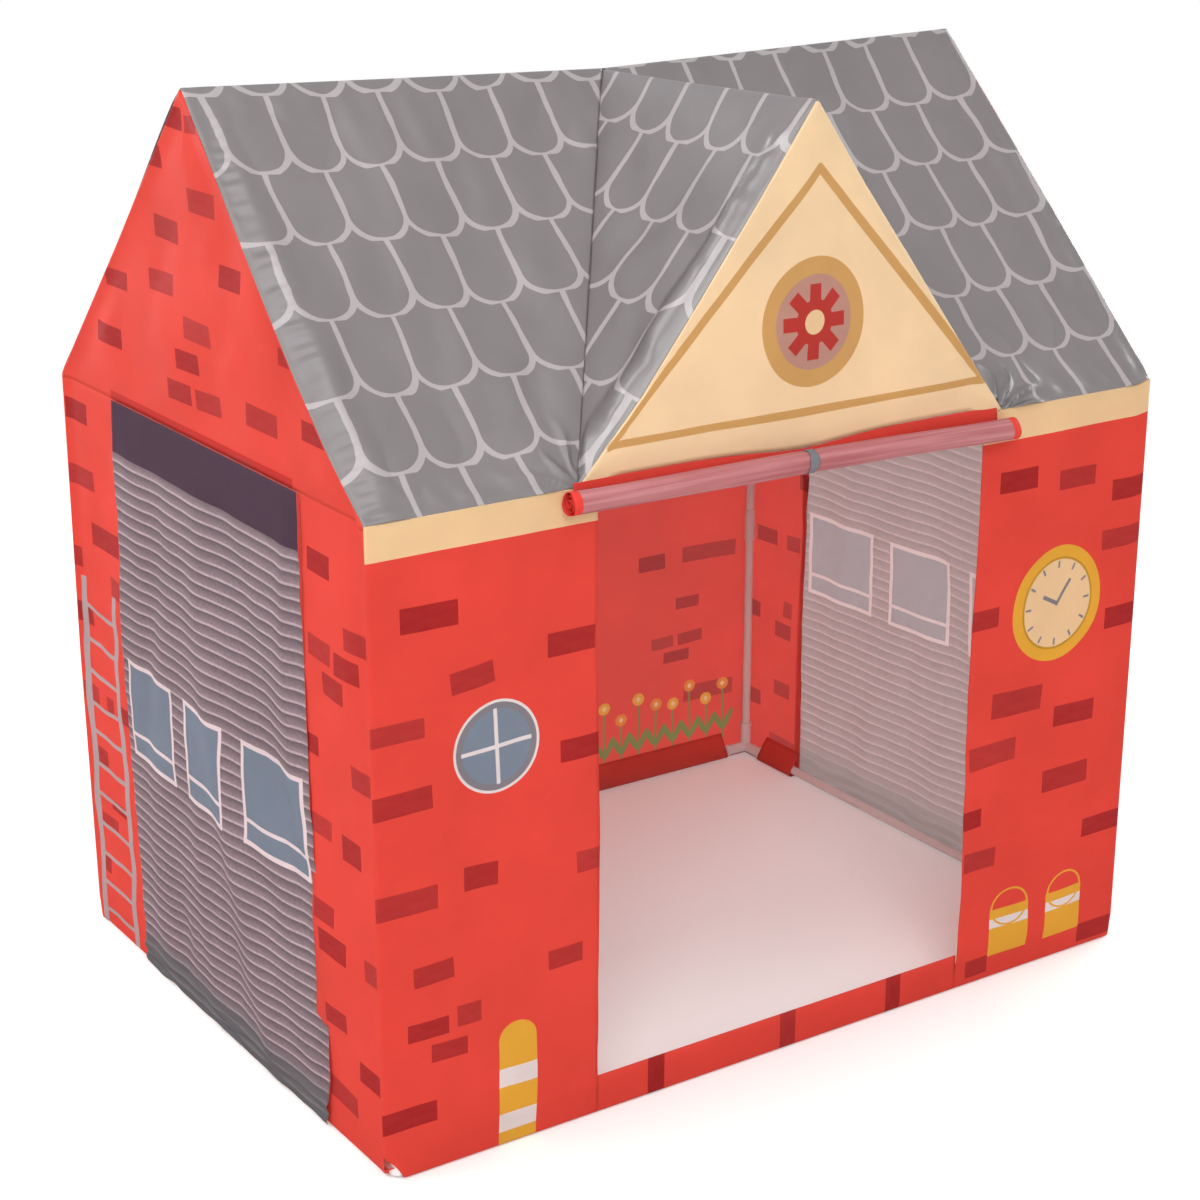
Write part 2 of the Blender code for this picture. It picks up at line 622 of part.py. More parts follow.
# Tie: from the pediment's foot over the front of the roll, round under it and up behind
tie_radius = ROLL_RADIUS + TIE_GAP
top_y = strip_back - CLOTH - TIE_GAP
line = [(top_y, strip_heights[0])]
line += [
    (roll_axis.y + tie_radius * math.cos(angle), roll_axis.z + tie_radius * math.sin(angle))
    for angle in steps(math.radians(55), math.radians(285), 14)
]
line += [(-HALF_WIDTH + TIE_GAP, roll_axis.z - ROLL_RADIUS), (-HALF_WIDTH + TIE_GAP, WALL_TOP - SEAM)]
outer = [[Vector((x, y, z)) for x in (-TIE_WIDTH / 2, TIE_WIDTH / 2)] for y, z in line]
inner = []
for n, (y, z) in enumerate(line):
    before, after = line[max(n - 1, 0)], line[min(n + 1, len(line) - 1)]
    run = Vector((after[0] - before[0], after[1] - before[1])).normalized()
    away = Vector((0, -run.y, run.x)) * -TIE_CLOTH
    inner.append([point + away for point in outer[n]])
paint(skin("roll_tie", outer, inner), TIE_GREY, 0.6)

# The origin goes to the middle of the floor that the whole tent covers
bpy.context.view_layer.update()
reach = [
    (item.matrix_world @ vertex.co)[:2]
    for item in bpy.data.objects
    if item.type == "MESH"
    for vertex in item.data.vertices
]
for n in (0, 1):
    places = [point[n] for point in reach]
    tent.location[n] = -(min(places) + max(places)) / 2
print("placed by", tuple(round(value, 6) for value in tent.location))
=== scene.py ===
"""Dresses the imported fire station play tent: printed cloth over its tube frame, with light and camera."""
import json
import math

import bpy
import numpy as np
from mathutils import Matrix, Vector


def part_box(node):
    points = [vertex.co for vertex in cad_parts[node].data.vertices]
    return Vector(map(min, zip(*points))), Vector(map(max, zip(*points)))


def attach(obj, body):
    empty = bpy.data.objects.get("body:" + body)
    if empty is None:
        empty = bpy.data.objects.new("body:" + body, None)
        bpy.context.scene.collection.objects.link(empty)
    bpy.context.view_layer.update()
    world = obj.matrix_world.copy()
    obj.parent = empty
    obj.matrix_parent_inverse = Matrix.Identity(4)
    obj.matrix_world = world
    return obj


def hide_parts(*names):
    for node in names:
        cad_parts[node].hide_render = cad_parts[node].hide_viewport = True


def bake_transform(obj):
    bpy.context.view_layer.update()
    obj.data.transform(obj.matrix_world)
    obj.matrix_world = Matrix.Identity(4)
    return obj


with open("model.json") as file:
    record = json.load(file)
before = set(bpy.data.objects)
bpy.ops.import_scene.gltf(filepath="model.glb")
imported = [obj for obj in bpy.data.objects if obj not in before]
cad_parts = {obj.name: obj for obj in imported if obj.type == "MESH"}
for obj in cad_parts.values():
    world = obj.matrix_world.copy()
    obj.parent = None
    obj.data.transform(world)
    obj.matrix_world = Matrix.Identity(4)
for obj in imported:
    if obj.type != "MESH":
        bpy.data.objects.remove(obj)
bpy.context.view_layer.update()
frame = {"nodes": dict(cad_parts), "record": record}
scene = bpy.context.scene

# Camera
# It stands off the front left corner, a little above the eaves. Its place, direction and lens were solved
# from ten corners of the house in the photograph.
eye = Vector((-1.5648, -2.3156, 1.3772))
gaze = Vector((0.52783, 0.78700, -0.31942))
camera = bpy.data.objects.new("camera", bpy.data.cameras.new("camera"))
camera.data.sensor_width = 36
camera.data.lens = 74.05
camera.matrix_world = Matrix.Translation(eye) @ gaze.to_track_quat("-Z", "Y").to_matrix().to_4x4()
scene.collection.objects.link(camera)
scene.camera = camera

# Front wall
# Two panels of thin red polyester, printed with bricks, a cream band and a few pictures, and a low sill across
# the doorway. Their lower edges are sewn into a sleeve round the base rail, and they bend round the corner posts.
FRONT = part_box("front_sill")[0][1]
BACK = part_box("roof_back")[1][1]
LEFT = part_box("roof_back")[0][0]
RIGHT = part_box("roof_back")[1][0]
MIDDLE = (FRONT + BACK) / 2
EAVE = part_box("front_left_panel")[1][2] + 0.0015
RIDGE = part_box("roof_back")[1][2]
HALF_LENGTH = (RIGHT - LEFT) / 2
HALF_WIDTH = (BACK - FRONT) / 2
LEFT_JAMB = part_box("front_left_panel")[1][0]
RIGHT_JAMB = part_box("front_right_panel")[0][0]
SILL_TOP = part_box("front_sill")[1][2]
PITCH = math.atan2(RIDGE - EAVE, HALF_WIDTH)
INSIDE = (0, MIDDLE, 0.5)
SQUARE = math.pi / 2
POLE_BEND = 0.0045
SEAM_GAP = 0.00002
RAIL_IN = 0.0098
RAIL_HEIGHT = 0.0085
STITCH_HEIGHT = 0.034
SLEEVE_INSET = 0.047
SLEEVE_TURN = math.pi * 0.93
SLEEVE_STEPS = 14
CLOTH = 0.0004
GRID = 0.005
NO_BRICK = 9.0
THREAD = 0.0012
# At the corners the cloth's foot draws in, most at the front left one, where the left end's cloth also lifts.
FOOT_NOTCH = 0.015
FOOT_DRAW = 0.003
FOOT_LIFT = 0.014
FOOT_REACH = 0.04
LIFT_REACH = 0.018
OPEN_FOOT = 0.030
CLEARANCE = 0.0002
PULL_REACH = 0.025
# The seams stand a little off the frame's straight lines. Each runs from one place to another, and its cloth is
# moved off that line by these moves, at equal shares of the way. A last value is how far from it cloth still moves.
SEAM_PULLS = [
    ((LEFT, FRONT, 0), (LEFT, FRONT, EAVE), ((-0.0115, 0, 0), (-0.0115, 0, 0))),
    ((LEFT, BACK, 0), (LEFT, BACK, EAVE), ((-0.003, 0, 0), (-0.006, 0, 0), (-0.004, 0, 0))),
    ((RIGHT, FRONT, 0), (RIGHT, FRONT, EAVE), ((0, 0, 0), (0.001, 0, 0), (0.0015, 0, 0.004))),
    ((LEFT, FRONT, EAVE), (LEFT, MIDDLE, RIDGE), (
        (-0.0115, 0, 0), (-0.0120, 0.004, -0.006), (-0.0120, 0.004, -0.006), (-0.0110, 0.003, -0.004),
        (-0.0090, 0.002, -0.002), (-0.0065, 0, 0), (-0.0040, 0, 0.003))),
    ((LEFT, BACK, EAVE), (LEFT, MIDDLE, RIDGE), ((-0.004, 0, 0), (-0.003, 0, 0), (-0.004, 0, 0.003))),
    ((RIGHT, FRONT, EAVE), (RIGHT, MIDDLE, RIDGE), ((0.0015, 0, 0.004), (0.004, 0, 0.003), (-0.0015, 0, 0.006))),
    ((RIGHT, BACK, EAVE), (RIGHT, MIDDLE, RIDGE), ((0, 0, 0), (0, 0, 0), (-0.0015, 0, 0.006))),
]


def linear(code):
    """An sRGB hex colour as linear light, with its alpha."""
    shares = [int(code[n:n + 2], 16) / 255 for n in (1, 3, 5)]
    return [s / 12.92 if s <= 0.04045 else ((s + 0.055) / 1.055) ** 2.4 for s in shares] + [1]


def add_node(tree, kind, inputs=None, output=0, **settings):
    """Adds a node with its settings, and its inputs as values or as other nodes' outputs."""
    node = tree.nodes.new("ShaderNode" + kind)
    for name, value in settings.items():
        setattr(node, name, value)
    for key, value in (inputs or {}).items():
        if isinstance(value, bpy.types.NodeSocket):
            tree.links.new(value, node.inputs[key])
        else:
            node.inputs[key].default_value = value
    return node.outputs[output] if len(node.outputs) else node


def block_reach(tree, place):
    """How far a place is from the middle of a block whose edge is at 1."""
    size = add_node(tree, "VectorMath", {0: place}, operation="ABSOLUTE")
    split = add_node(tree, "SeparateXYZ", {0: size}).node
    return add_node(tree, "Math", {0: split.outputs[0], 1: split.outputs[1]}, operation="MAXIMUM")


def shape(tree, where, under, colour, middle, half, turn=0, kind="block", line=None):
    """The print so far with one more shape on it: a block or a disc, filled or only as a line round its edge."""
    inputs = {0: where, 1: (*middle, 0), 2: (0, 0, turn), 3: (*half, 1)}
    local = add_node(tree, "Mapping", inputs, vector_type="TEXTURE")
    if kind == "disc":
        reach = add_node(tree, "VectorMath", {0: local}, output=1, operation="LENGTH")
    else:
        reach = block_reach(tree, local)
    if line is None:
        inside = add_node(tree, "Math", {0: reach, 1: 1.0}, operation="LESS_THAN")
    else:
        inside = add_node(tree, "Math", {0: reach, 1: 1 - line / 2, 2: line / 2}, operation="COMPARE")
    return add_node(tree, "Mix", {0: inside, 6: under, 7: linear(colour)}, output=2, data_type="RGBA")


def shapes(tree, where, ink, *rows):
    """The print so far with rows of shapes on it: each one's colour, middle and half size, and any settings."""
    for colour, middle, half, *settings in rows:
        ink = shape(tree, where, ink, colour, middle, half, *settings)
    return ink


def bricks_over(tree, under):
    """The print with its bricks: darker red, each in a tone of its own, with blots where the ink took unevenly."""
    place = add_node(tree, "UVMap", uv_map="brick")
    inside = add_node(tree, "Math", {0: block_reach(tree, place), 1: 1.0}, operation="LESS_THAN")
    tone = add_node(tree, "Attribute", output=2, attribute_name="tone")
    blot = add_node(tree, "TexNoise", {"Vector": place, "Scale": 1.3, "Detail": 3.0})
    tone = add_node(tree, "Math", {0: blot, 1: 0.5, 2: tone}, operation="MULTIPLY_ADD")
    inputs = {0: tone, 6: linear("#A82428"), 7: linear("#CC4A46")}
    ink = add_node(tree, "Mix", inputs, output=2, data_type="RGBA")
    return add_node(tree, "Mix", {0: inside, 6: under, 7: ink}, output=2, data_type="RGBA")


def new_material(name):
    """An empty material, and its tree of nodes."""
    material = bpy.data.materials.new(name)
    material.use_nodes = True
    material.node_tree.nodes.clear()
    return material, material.node_tree


def printed_cloth(name, draw, rough, through=0.44, gloss=0.03, back="#E3ACA7", back_share=0.12):
    """Thin woven polyester with a print, which draw gives for a tree and the flat place.

    To the eye it is nearly matt and a little cloudy, with fine threads and small creases. Light shines through it,
    and its inner face is the unprinted back, where the ink shows more weakly. Real threads lie about 0.25 mm
    apart: they are drawn five times as coarse, or they wouldn't show.
    """
    material, tree = new_material(name)
    where = add_node(tree, "UVMap", uv_map="print")
    cloud = add_node(tree, "TexNoise", {"Vector": where, "Scale": 9.0, "Detail": 4.0, "Roughness": 0.6})
    shade = add_node(tree, "MapRange", {0: cloud, 1: 0.3, 2: 0.7, 3: 0.94, 4: 1.04})
    ink = draw(tree, where)
    ink = add_node(tree, "VectorMath", {0: ink, "Scale": shade}, operation="SCALE")
    # The inner face is the one that looks towards the middle of the tent.
    spot = add_node(tree, "TexCoord", output=3)
    spot = add_node(tree, "VectorMath", {0: spot, 1: INSIDE}, operation="SUBTRACT")
    facing = add_node(tree, "TexCoord", output=1)
    facing = add_node(tree, "VectorMath", {0: spot, 1: facing}, output=1, operation="DOT_PRODUCT")
    inner = add_node(tree, "Math", {0: facing, 1: 0.0}, operation="LESS_THAN")
    inner = add_node(tree, "Math", {0: inner, 1: back_share}, operation="MULTIPLY")
    ink = add_node(tree, "Mix", {0: inner, 6: ink, 7: linear(back)}, output=2, data_type="RGBA")
    thread = add_node(tree, "VectorMath", {0: where, "Scale": math.tau / THREAD}, operation="SCALE")
    thread = add_node(tree, "VectorMath", {0: thread}, operation="SINE")
    split = add_node(tree, "SeparateXYZ", {0: thread}).node
    weave = add_node(tree, "Math", {0: split.outputs[0], 1: split.outputs[1]}, operation="MULTIPLY")
    crease = add_node(tree, "TexNoise", {"Vector": where, "Scale": 60.0, "Detail": 3.0})
    relief = add_node(tree, "Math", {0: weave, 1: 0.05, 2: crease}, operation="MULTIPLY_ADD")
    bump = add_node(tree, "Bump", {"Height": relief, "Strength": 0.25, "Distance": 0.0015})
    surface = add_node(tree, "BsdfPrincipled", {
        "Base Color": ink, "Roughness": rough, "IOR": 1.5, "Specular IOR Level": gloss, "Normal": bump})
    # A sheet has two faces, so each one takes half of the ink's effect on the light that passes.
    each_face = add_node(tree, "Gamma", {0: ink, 1: 0.5})
    glow = add_node(tree, "BsdfTranslucent", {"Color": each_face})
    both = add_node(tree, "MixShader", {0: through, 1: surface, 2: glow})
    add_node(tree, "OutputMaterial", {0: both})
    return material


def grid(*parts):
    """A grid of points from the values of their parts, which may run along different sides of it."""
    return np.stack(np.broadcast_arrays(*parts), axis=-1)


def easing(distance, reach):
    """0 where the cloth is held, rising softly to 1 at a reach from there."""
    share = np.clip(distance / reach, 0, 1)
    return share * share * (3 - 2 * share)


def band(distance, start, rise, end, fall):
    """1 in a band along a seam. It rises softly over a rise from its start, and falls over a fall from its end."""
    return easing(distance - start, rise) * (1 - easing(distance - end, fall))


def ripple(x, y, size, seed):
    """Soft unrest of about 1 either way, in waves about a size long."""
    random = np.random.RandomState(seed)
    total = 0
    for _ in range(8):
        angle, phase = random.uniform(0, math.tau, 2)
        length = size * random.uniform(0.7, 1.6)
        total = total + np.sin(math.tau * (x * math.cos(angle) + y * math.sin(angle)) / length + phase)
    return total / 3


def over_pole(distance, turn, bend=POLE_BEND):
    """How deep the cloth lies at a distance from the sharp corner of two panels, as it bends round the pole."""
    missing = np.clip(bend * math.tan(turn / 2) - distance, 0, bend * 0.999)
    return bend - np.sqrt(bend ** 2 - missing ** 2)


def pole_edge(turn, bend=POLE_BEND):
    """How far from that corner a panel ends, where it meets the next one halfway round the pole."""
    return bend * (math.tan(turn / 2) - math.sin(turn / 2)) + SEAM_GAP


def pulled(points):
    """The points with the cloth drawn to where its seams run: most stand out a little past the frame's lines."""
    total, weights = np.zeros(points.shape), np.ones(points.shape[:2]) * 1e-9
    for start, end, moves, *nearer in SEAM_PULLS:
        start, line = np.array(start), np.array(end) - start
        along = np.clip((points - start) @ line / (line @ line), 0, 1)
        away = np.linalg.norm(points - start - along[..., None] * line, axis=-1)
        reach = nearer[0] if nearer else PULL_REACH
        weight = (1 - np.clip((away - 0.002) / reach, 0, 1)) ** 2
        stations = np.linspace(0, 1, len(moves))
        move = np.stack([np.interp(along, stations, part) for part in zip(*moves)], axis=-1)
        total += weight[..., None] * move
        weights += weight
    return points + total / np.maximum(weights, 1)[..., None]


CONNECTORS = ("ridge_end", "ridge_centre", "eave_corner", "base_corner", "dormer_apex", "dormer_foot")


def kept_clear(lift, points):
    """The lift, with the cloth kept outside the connectors that it lies on, and free to sag further from them."""
    for item in frame["record"]["subparts"]:
        name = item["node"]
        if name.startswith(CONNECTORS):
            low, high = np.array(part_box(name))
            outside = np.maximum(np.maximum(low - points, points - high), 0)
            away = np.linalg.norm(outside, axis=-1)
            lift = np.maximum(lift, -CLEARANCE - np.maximum(away - 0.006, 0) * 0.08)
    return lift


def places(start, end, count, fine_start=False, fine_end=False):
    """Places from start to end, crowded at an end where the cloth bends round a pole."""
    crowd = np.array([0, 0.0007, 0.0015, 0.0025, 0.0038, 0.0056, 0.008])
    length = abs(end - start)
    crowd = np.minimum(crowd, length * np.arange(7) * 0.02)
    low = crowd if fine_start else crowd[:1]
    high = length - crowd[::-1] if fine_end else np.array([length])
    between = np.linspace(low[-1], high[0], count + 1)
    return start + np.sign(end - start) * np.concatenate([low[:-1], between, high[1:]])


def cloth(name, points, flat, material, bricks=(), keep=None, thickness=CLOTH):
    """A sheet over a grid of points on its outer face, with its flat places in metres for its print.

    Each brick is its left, right, low and high edge in millimetres, and may have a tilt.
    """
    rows, columns = points.shape[:2]
    corner = np.arange(rows * columns).reshape(rows, columns)
    faces = np.stack([corner[:-1, :-1], corner[:-1, 1:], corner[1:, 1:], corner[1:, :-1]], axis=-1)
    faces = faces.reshape(-1, 4) if keep is None else faces[keep]
    spots = points.reshape(-1, 3)
    across = spots[faces[:, 1]] - spots[faces[:, 0]]
    facing = np.cross(across, spots[faces[:, 3]] - spots[faces[:, 0]]).sum(axis=0)
    if facing @ (spots[faces].mean(axis=(0, 1)) - INSIDE) < 0:
        faces = faces[:, ::-1]
    used, faces = np.unique(faces, return_inverse=True)
    faces = faces.reshape(-1, 4)
    mesh = bpy.data.meshes.new(name)
    mesh.from_pydata(spots[used].tolist(), [], faces.tolist())
    mesh.shade_smooth()
    place = flat.reshape(-1, 2)[used][faces]
    mesh.uv_layers.new(name="print").data.foreach_set("uv", place.ravel())
    # Each face keeps its place in the brick nearest to it, since that is the only one that can show on it.
    middle = place.mean(axis=1)
    nearest = np.full(place.shape, NO_BRICK)
    least = np.full(len(faces), NO_BRICK)
    tone = np.zeros(len(faces))
    for n, (left, right, low, high, *tilt) in enumerate(bricks):
        half = np.array([right - left, high - low]) / 2 / 1000
        centre = np.array([right + left, high + low]) / 2 / 1000
        angle = tilt[0] if tilt else 0.03 * math.sin(n * 5)
        turned = np.array([[math.cos(angle), -math.sin(angle)], [math.sin(angle), math.cos(angle)]])
        far = np.abs((middle - centre) @ turned / half).max(axis=1)
        nearer = far < least
        nearest[nearer] = (place[nearer] - centre) @ turned / half
        least[nearer] = far[nearer]
        tone[nearer] = (n * 0.618) % 1 * 0.5
    mesh.uv_layers.new(name="brick").data.foreach_set("uv", nearest.ravel())
    mesh.attributes.new("tone", "FLOAT", "FACE").data.foreach_set("value", tone)
    mesh.materials.append(material)
    piece = bpy.data.objects.new(name, mesh)
    scene.collection.objects.link(piece)
    wall = piece.modifiers.new("thickness", "SOLIDIFY")
    wall.thickness = thickness
    wall.offset = -1
    return piece


def lifted(points, lift):
    """The points of a grid moved along its outward normals."""
    across = np.gradient(points, axis=1)
    down = np.gradient(points, axis=0)
    normal = np.cross(across, down)
    normal /= np.maximum(np.linalg.norm(normal, axis=2, keepdims=True), 1e-12)
    centre = points.mean(axis=(0, 1))
    if normal.mean(axis=(0, 1)) @ (centre - INSIDE) < 0:
        normal = -normal
    return points + normal * lift[..., None]


def put(side, along, depth, height):
    """Points of a wall from places along it, inwards from its face, and up."""
    if side == "front":
        spots = (along, FRONT + depth, height)
    elif side == "back":
        spots = (along, BACK - depth, height)
    elif side == "left":
        spots = (LEFT + depth, MIDDLE + along, height)
    else:
        spots = (RIGHT - depth, MIDDLE + along, height)
    return grid(*spots)


def wall_panel(name, side, first, last, top, material, bricks, seed, bow=0):
    """A wall's panel between two places along it, down round the base rail and up to its sleeve's stitches.

    It stands open a little at the foot of each corner. A bow is how far its free edge swings back halfway down.
    """
    half = HALF_LENGTH if side in ("front", "back") else HALF_WIDTH
    at_first, at_last = first <= -half + 0.001, last >= half - 0.001
    start = -half + pole_edge(SQUARE) if at_first else first
    end = half - pole_edge(SQUARE) if at_last else last
    along = places(start, end, max(8, round((end - start) / GRID)), at_first, at_last)
    height = places(top, RAIL_HEIGHT, max(6, round((top - RAIL_HEIGHT) / GRID)), top > EAVE - 0.002)
    # Below the face, the cloth turns round the rail and rises behind it to the stitches.
    turn = np.linspace(0, SLEEVE_TURN, SLEEVE_STEPS + 1)[1:]
    square_in = np.sign(np.cos(turn)) * np.abs(np.cos(turn)) ** 0.5
    depth = np.concatenate([0 * height, RAIL_IN * (1 - square_in)])
    height = np.concatenate([height, RAIL_HEIGHT - RAIL_HEIGHT * 0.96 * np.sin(turn) ** 0.5])
    face_rows = len(height) - len(turn)
    rise = np.linspace(0, 1, 7)[1:]
    depth = np.concatenate([depth, depth[-1] + (0.0014 - depth[-1]) * rise])
    height = np.concatenate([height, height[-1] + (STITCH_HEIGHT - height[-1]) * rise])
    run = np.concatenate([[0], np.hypot(np.diff(depth), np.diff(height)).cumsum()])
    flat = grid(along[None] + half, top - run[:, None])
    from_corner = half - np.abs(along)
    round_post = over_pole(from_corner, SQUARE)[None]
    round_rail = over_pole(EAVE - height, SQUARE - PITCH)[:, None] if top > EAVE - 0.002 else 0
    on_face = (np.arange(len(height)) < face_rows)[:, None]
    # At a corner the foot of the cloth draws in or up from the connector.
    open_foot = np.clip(1 - height / OPEN_FOOT, 0, 1)[:, None] ** 0.7
    inwards = 0 * along
    raised = 0 * along
    if at_first:
        draw = FOOT_NOTCH if side == "front" else FOOT_DRAW
        inwards += draw * easing(start + FOOT_REACH - along, FOOT_REACH)
        if side == "left":
            raised += FOOT_LIFT * easing(start + LIFT_REACH - along, LIFT_REACH)
    if at_last:
        inwards -= FOOT_DRAW * easing(along - end + FOOT_REACH, FOOT_REACH)
    spread = along[None] + inwards * open_foot
    if bow:
        swing = easing(0.62 - height, 0.26) * (1 - 0.25 * easing(0.3 - height, 0.3))
        spread = spread + bow * swing[:, None] * ((end - along) / (end - start)) ** 2
    level = height[:, None] + raised * np.clip(1 - height / 0.05, 0, 1)[:, None]
    points = pulled(put(side, spread, depth[:, None] + round_post + round_rail * on_face, level))
    # Between the rail, the top and the corners the cloth hangs free, and is a little uneven there.
    free = np.ones((len(height), len(along)))
    free *= easing(height - RAIL_HEIGHT, 0.05)[:, None] * easing(top - height, 0.07)[:, None] * on_face
    if at_first:
        free *= easing(along - start, 0.06)[None]
    if at_last:
        free *= easing(end - along, 0.06)[None]
    u, v = flat[..., 0], flat[..., 1]
    lift = free * (0.0015 + 0.0022 * ripple(u, v * 0.6, 0.22, seed) + 0.0007 * ripple(u, v, 0.07, seed + 1))
    points = lifted(points, kept_clear(lift, points))
    # The sleeve ends short of the connectors at the corners.
    keep = np.ones((len(height) - 1, len(along) - 1), bool)
    in_sleeve = np.ones(len(along) - 1, bool)
    if at_first:
        in_sleeve &= along[:-1] > start + SLEEVE_INSET
    if at_last:
        in_sleeve &= along[1:] < end - SLEEVE_INSET
    keep[face_rows + 7:] = in_sleeve
    return cloth(name, points, flat, material, bricks, keep)


def dress(piece, node, body="house"):
    """Hides the solid that a piece stands in for, and hangs the piece on what it moves with."""
    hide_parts(node)
    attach(piece, body)


RED = "#E85347"
CREAM = "#EFD2A6"
GREY = "#8E8B92"
PANE = "#8794A4"
PALE = "#EDE0E2"
YELLOW = "#E9B544"
WHITE = "#E9E2E0"
BAND_FOOT = 0.669
WALL_HEIGHT = 0.755


def brick_print(tree, where):
    """The red that the cloth is printed with, and its bricks."""
    ground = add_node(tree, "RGB")
    ground.default_value = linear(RED)
    return bricks_over(tree, ground)


def cream_band(tree, where, under):
    """The cream band along the eaves, over everything else."""
    split = add_node(tree, "SeparateXYZ", {0: where}).node
    above = add_node(tree, "Math", {0: split.outputs[1], 1: BAND_FOOT}, operation="GREATER_THAN")
    return add_node(tree, "Mix", {0: above, 6: under, 7: linear(CREAM)}, output=2, data_type="RGBA")


def left_front_print(tree, where):
    """Bricks, a round window with four panes, and a bollard with white bands."""
    window = (0.130, 0.455)
    ink = shapes(
        tree, where, brick_print(tree, where),
        (GREY, window, (0.050, 0.050), 0, "disc"),
        (PANE, window, (0.040, 0.040), 0, "disc"),
        (WHITE, window, (0.0022, 0.041), 0.05),
        (WHITE, window, (0.0022, 0.041), SQUARE + 0.05),
        (WHITE, window, (0.050, 0.050), 0, "disc", 0.06),
        (YELLOW, (0.150, 0.062), (0.023, 0.062)),
        (YELLOW, (0.150, 0.124), (0.023, 0.020), 0, "disc"),
        (WHITE, (0.150, 0.028), (0.023, 0.011)),
        (WHITE, (0.150, 0.082), (0.023, 0.011)))
    return cream_band(tree, where, ink)


def right_front_print(tree, where):
    """Bricks, a round wall clock, and two buckets."""
    middle = (0.890, 0.462)
    ink = shapes(
        tree, where, brick_print(tree, where),
        (YELLOW, middle, (0.070, 0.070), 0, "disc"),
        (CREAM, middle, (0.055, 0.055), 0, "disc"),
        ("#C99A3A", middle, (0.056, 0.056), 0, "disc", 0.05))
    for hour in range(12):
        turn = hour * math.tau / 12
        spot = (middle[0] + 0.047 * math.sin(turn), middle[1] + 0.047 * math.cos(turn))
        ink = shape(tree, where, ink, GREY, spot, (0.0014, 0.0042), -turn)
    ink = shapes(
        tree, where, ink,
        (GREY, (middle[0] + 0.009, middle[1] + 0.012), (0.002, 0.018), -0.65),
        (GREY, (middle[0] - 0.012, middle[1] + 0.006), (0.0024, 0.013), 1.1))
    for across in (0.842, 0.930):
        ink = shapes(
            tree, where, ink,
            (YELLOW, (across, 0.060), (0.030, 0.030)),
            (WHITE, (across, 0.072), (0.030, 0.006)),
            (YELLOW, (across, 0.090), (0.029, 0.024), 0, "disc", 0.10))
    return cream_band(tree, where, ink)


LEFT_FRONT_BRICKS = [
    (25, 88, 592, 618), (78, 128, 522, 545, 0.12), (192, 250, 535, 560), (0, 48, 482, 503), (0, 56, 405, 430),
    (205, 260, 420, 444), (0, 61, 296, 322), (92, 131, 304, 330), (224, 262, 293, 317), (30, 77, 214, 236),
    (22, 69, 154, 174), (79, 108, 157, 180), (48, 90, 125, 145), (0, 52, 58, 82), (190, 232, 190, 212),
]
RIGHT_FRONT_BRICKS = [
    (790, 846, 609, 634), (882, 942, 598, 621), (970, 1030, 571, 596), (960, 1030, 513, 537),
    (762, 800, 450, 474), (970, 1030, 414, 440), (799, 876, 335, 366), (898, 960, 305, 331),
    (768, 840, 278, 306), (885, 956, 225, 253), (955, 1030, 150, 174), (765, 815, 150, 174),
    (960, 1030, 8, 32), (762, 790, 205, 228), (778, 812, 10, 32),
]
SILL_BRICKS = [
    (318, 340, -30, 60, 0), (500, 522, -30, 60, 0), (655, 677, -30, 60, 0),
]


# Dyed polyester is nearly matt and even in colour, and daylight behind it makes it glow.
eave_top = EAVE - pole_edge(SQUARE - PITCH)
left_front_cloth = printed_cloth("printed polyester, window and bollard", left_front_print, 0.5)
right_front_cloth = printed_cloth("printed polyester, clock and buckets", right_front_print, 0.5)
brick_cloth = printed_cloth("printed polyester, bricks", brick_print, 0.5)
front_left = wall_panel("front_left_cloth", "front", -HALF_LENGTH, LEFT_JAMB, eave_top,
                        left_front_cloth, LEFT_FRONT_BRICKS, 11)
front_right = wall_panel("front_right_cloth", "front", RIGHT_JAMB, HALF_LENGTH, eave_top,
                         right_front_cloth, RIGHT_FRONT_BRICKS, 12)
sill = wall_panel("front_sill_cloth", "front", LEFT_JAMB + 0.0003, RIGHT_JAMB - 0.0003, SILL_TOP,
                  brick_cloth, SILL_BRICKS, 13)
for piece, node, width, height in (
    (front_left, "front_left_panel", 0.252, WALL_HEIGHT),
    (front_right, "front_right_panel", 0.258, WALL_HEIGHT),
    (sill, "front_sill", 0.510, 0.097),
):
    dress(piece, node)

# Back wall
# One piece of the same red polyester from corner to corner, with a row of plain flowers along its foot. It is sewn
# to the roof along the eaves, and its lower edge is a sleeve round the base rail.
LEAF = "#7C9A55"
BACK_BRICKS = [
    (825, 870, 306, 328), (900, 993, 307, 330), (889, 930, 240, 257), (847, 885, 186, 203),
    (893, 937, 186, 203), (868, 913, 162, 179), (904, 992, 95, 119), (620, 680, 400, 425),
    (700, 770, 520, 545), (800, 860, 470, 494), (900, 950, 580, 604), (100, 170, 300, 325),
    (200, 260, 270, 294), (50, 100, 450, 474), (300, 370, 550, 575), (400, 460, 350, 374),
    (330, 390, 190, 214), (480, 540, 600, 624), (500, 570, 240, 264), (120, 180, 600, 624),
    (220, 280, 480, 504), (440, 500, 470, 494), (560, 620, 340, 364), (640, 700, 150, 174),
    (50, 110, 150, 174),
]


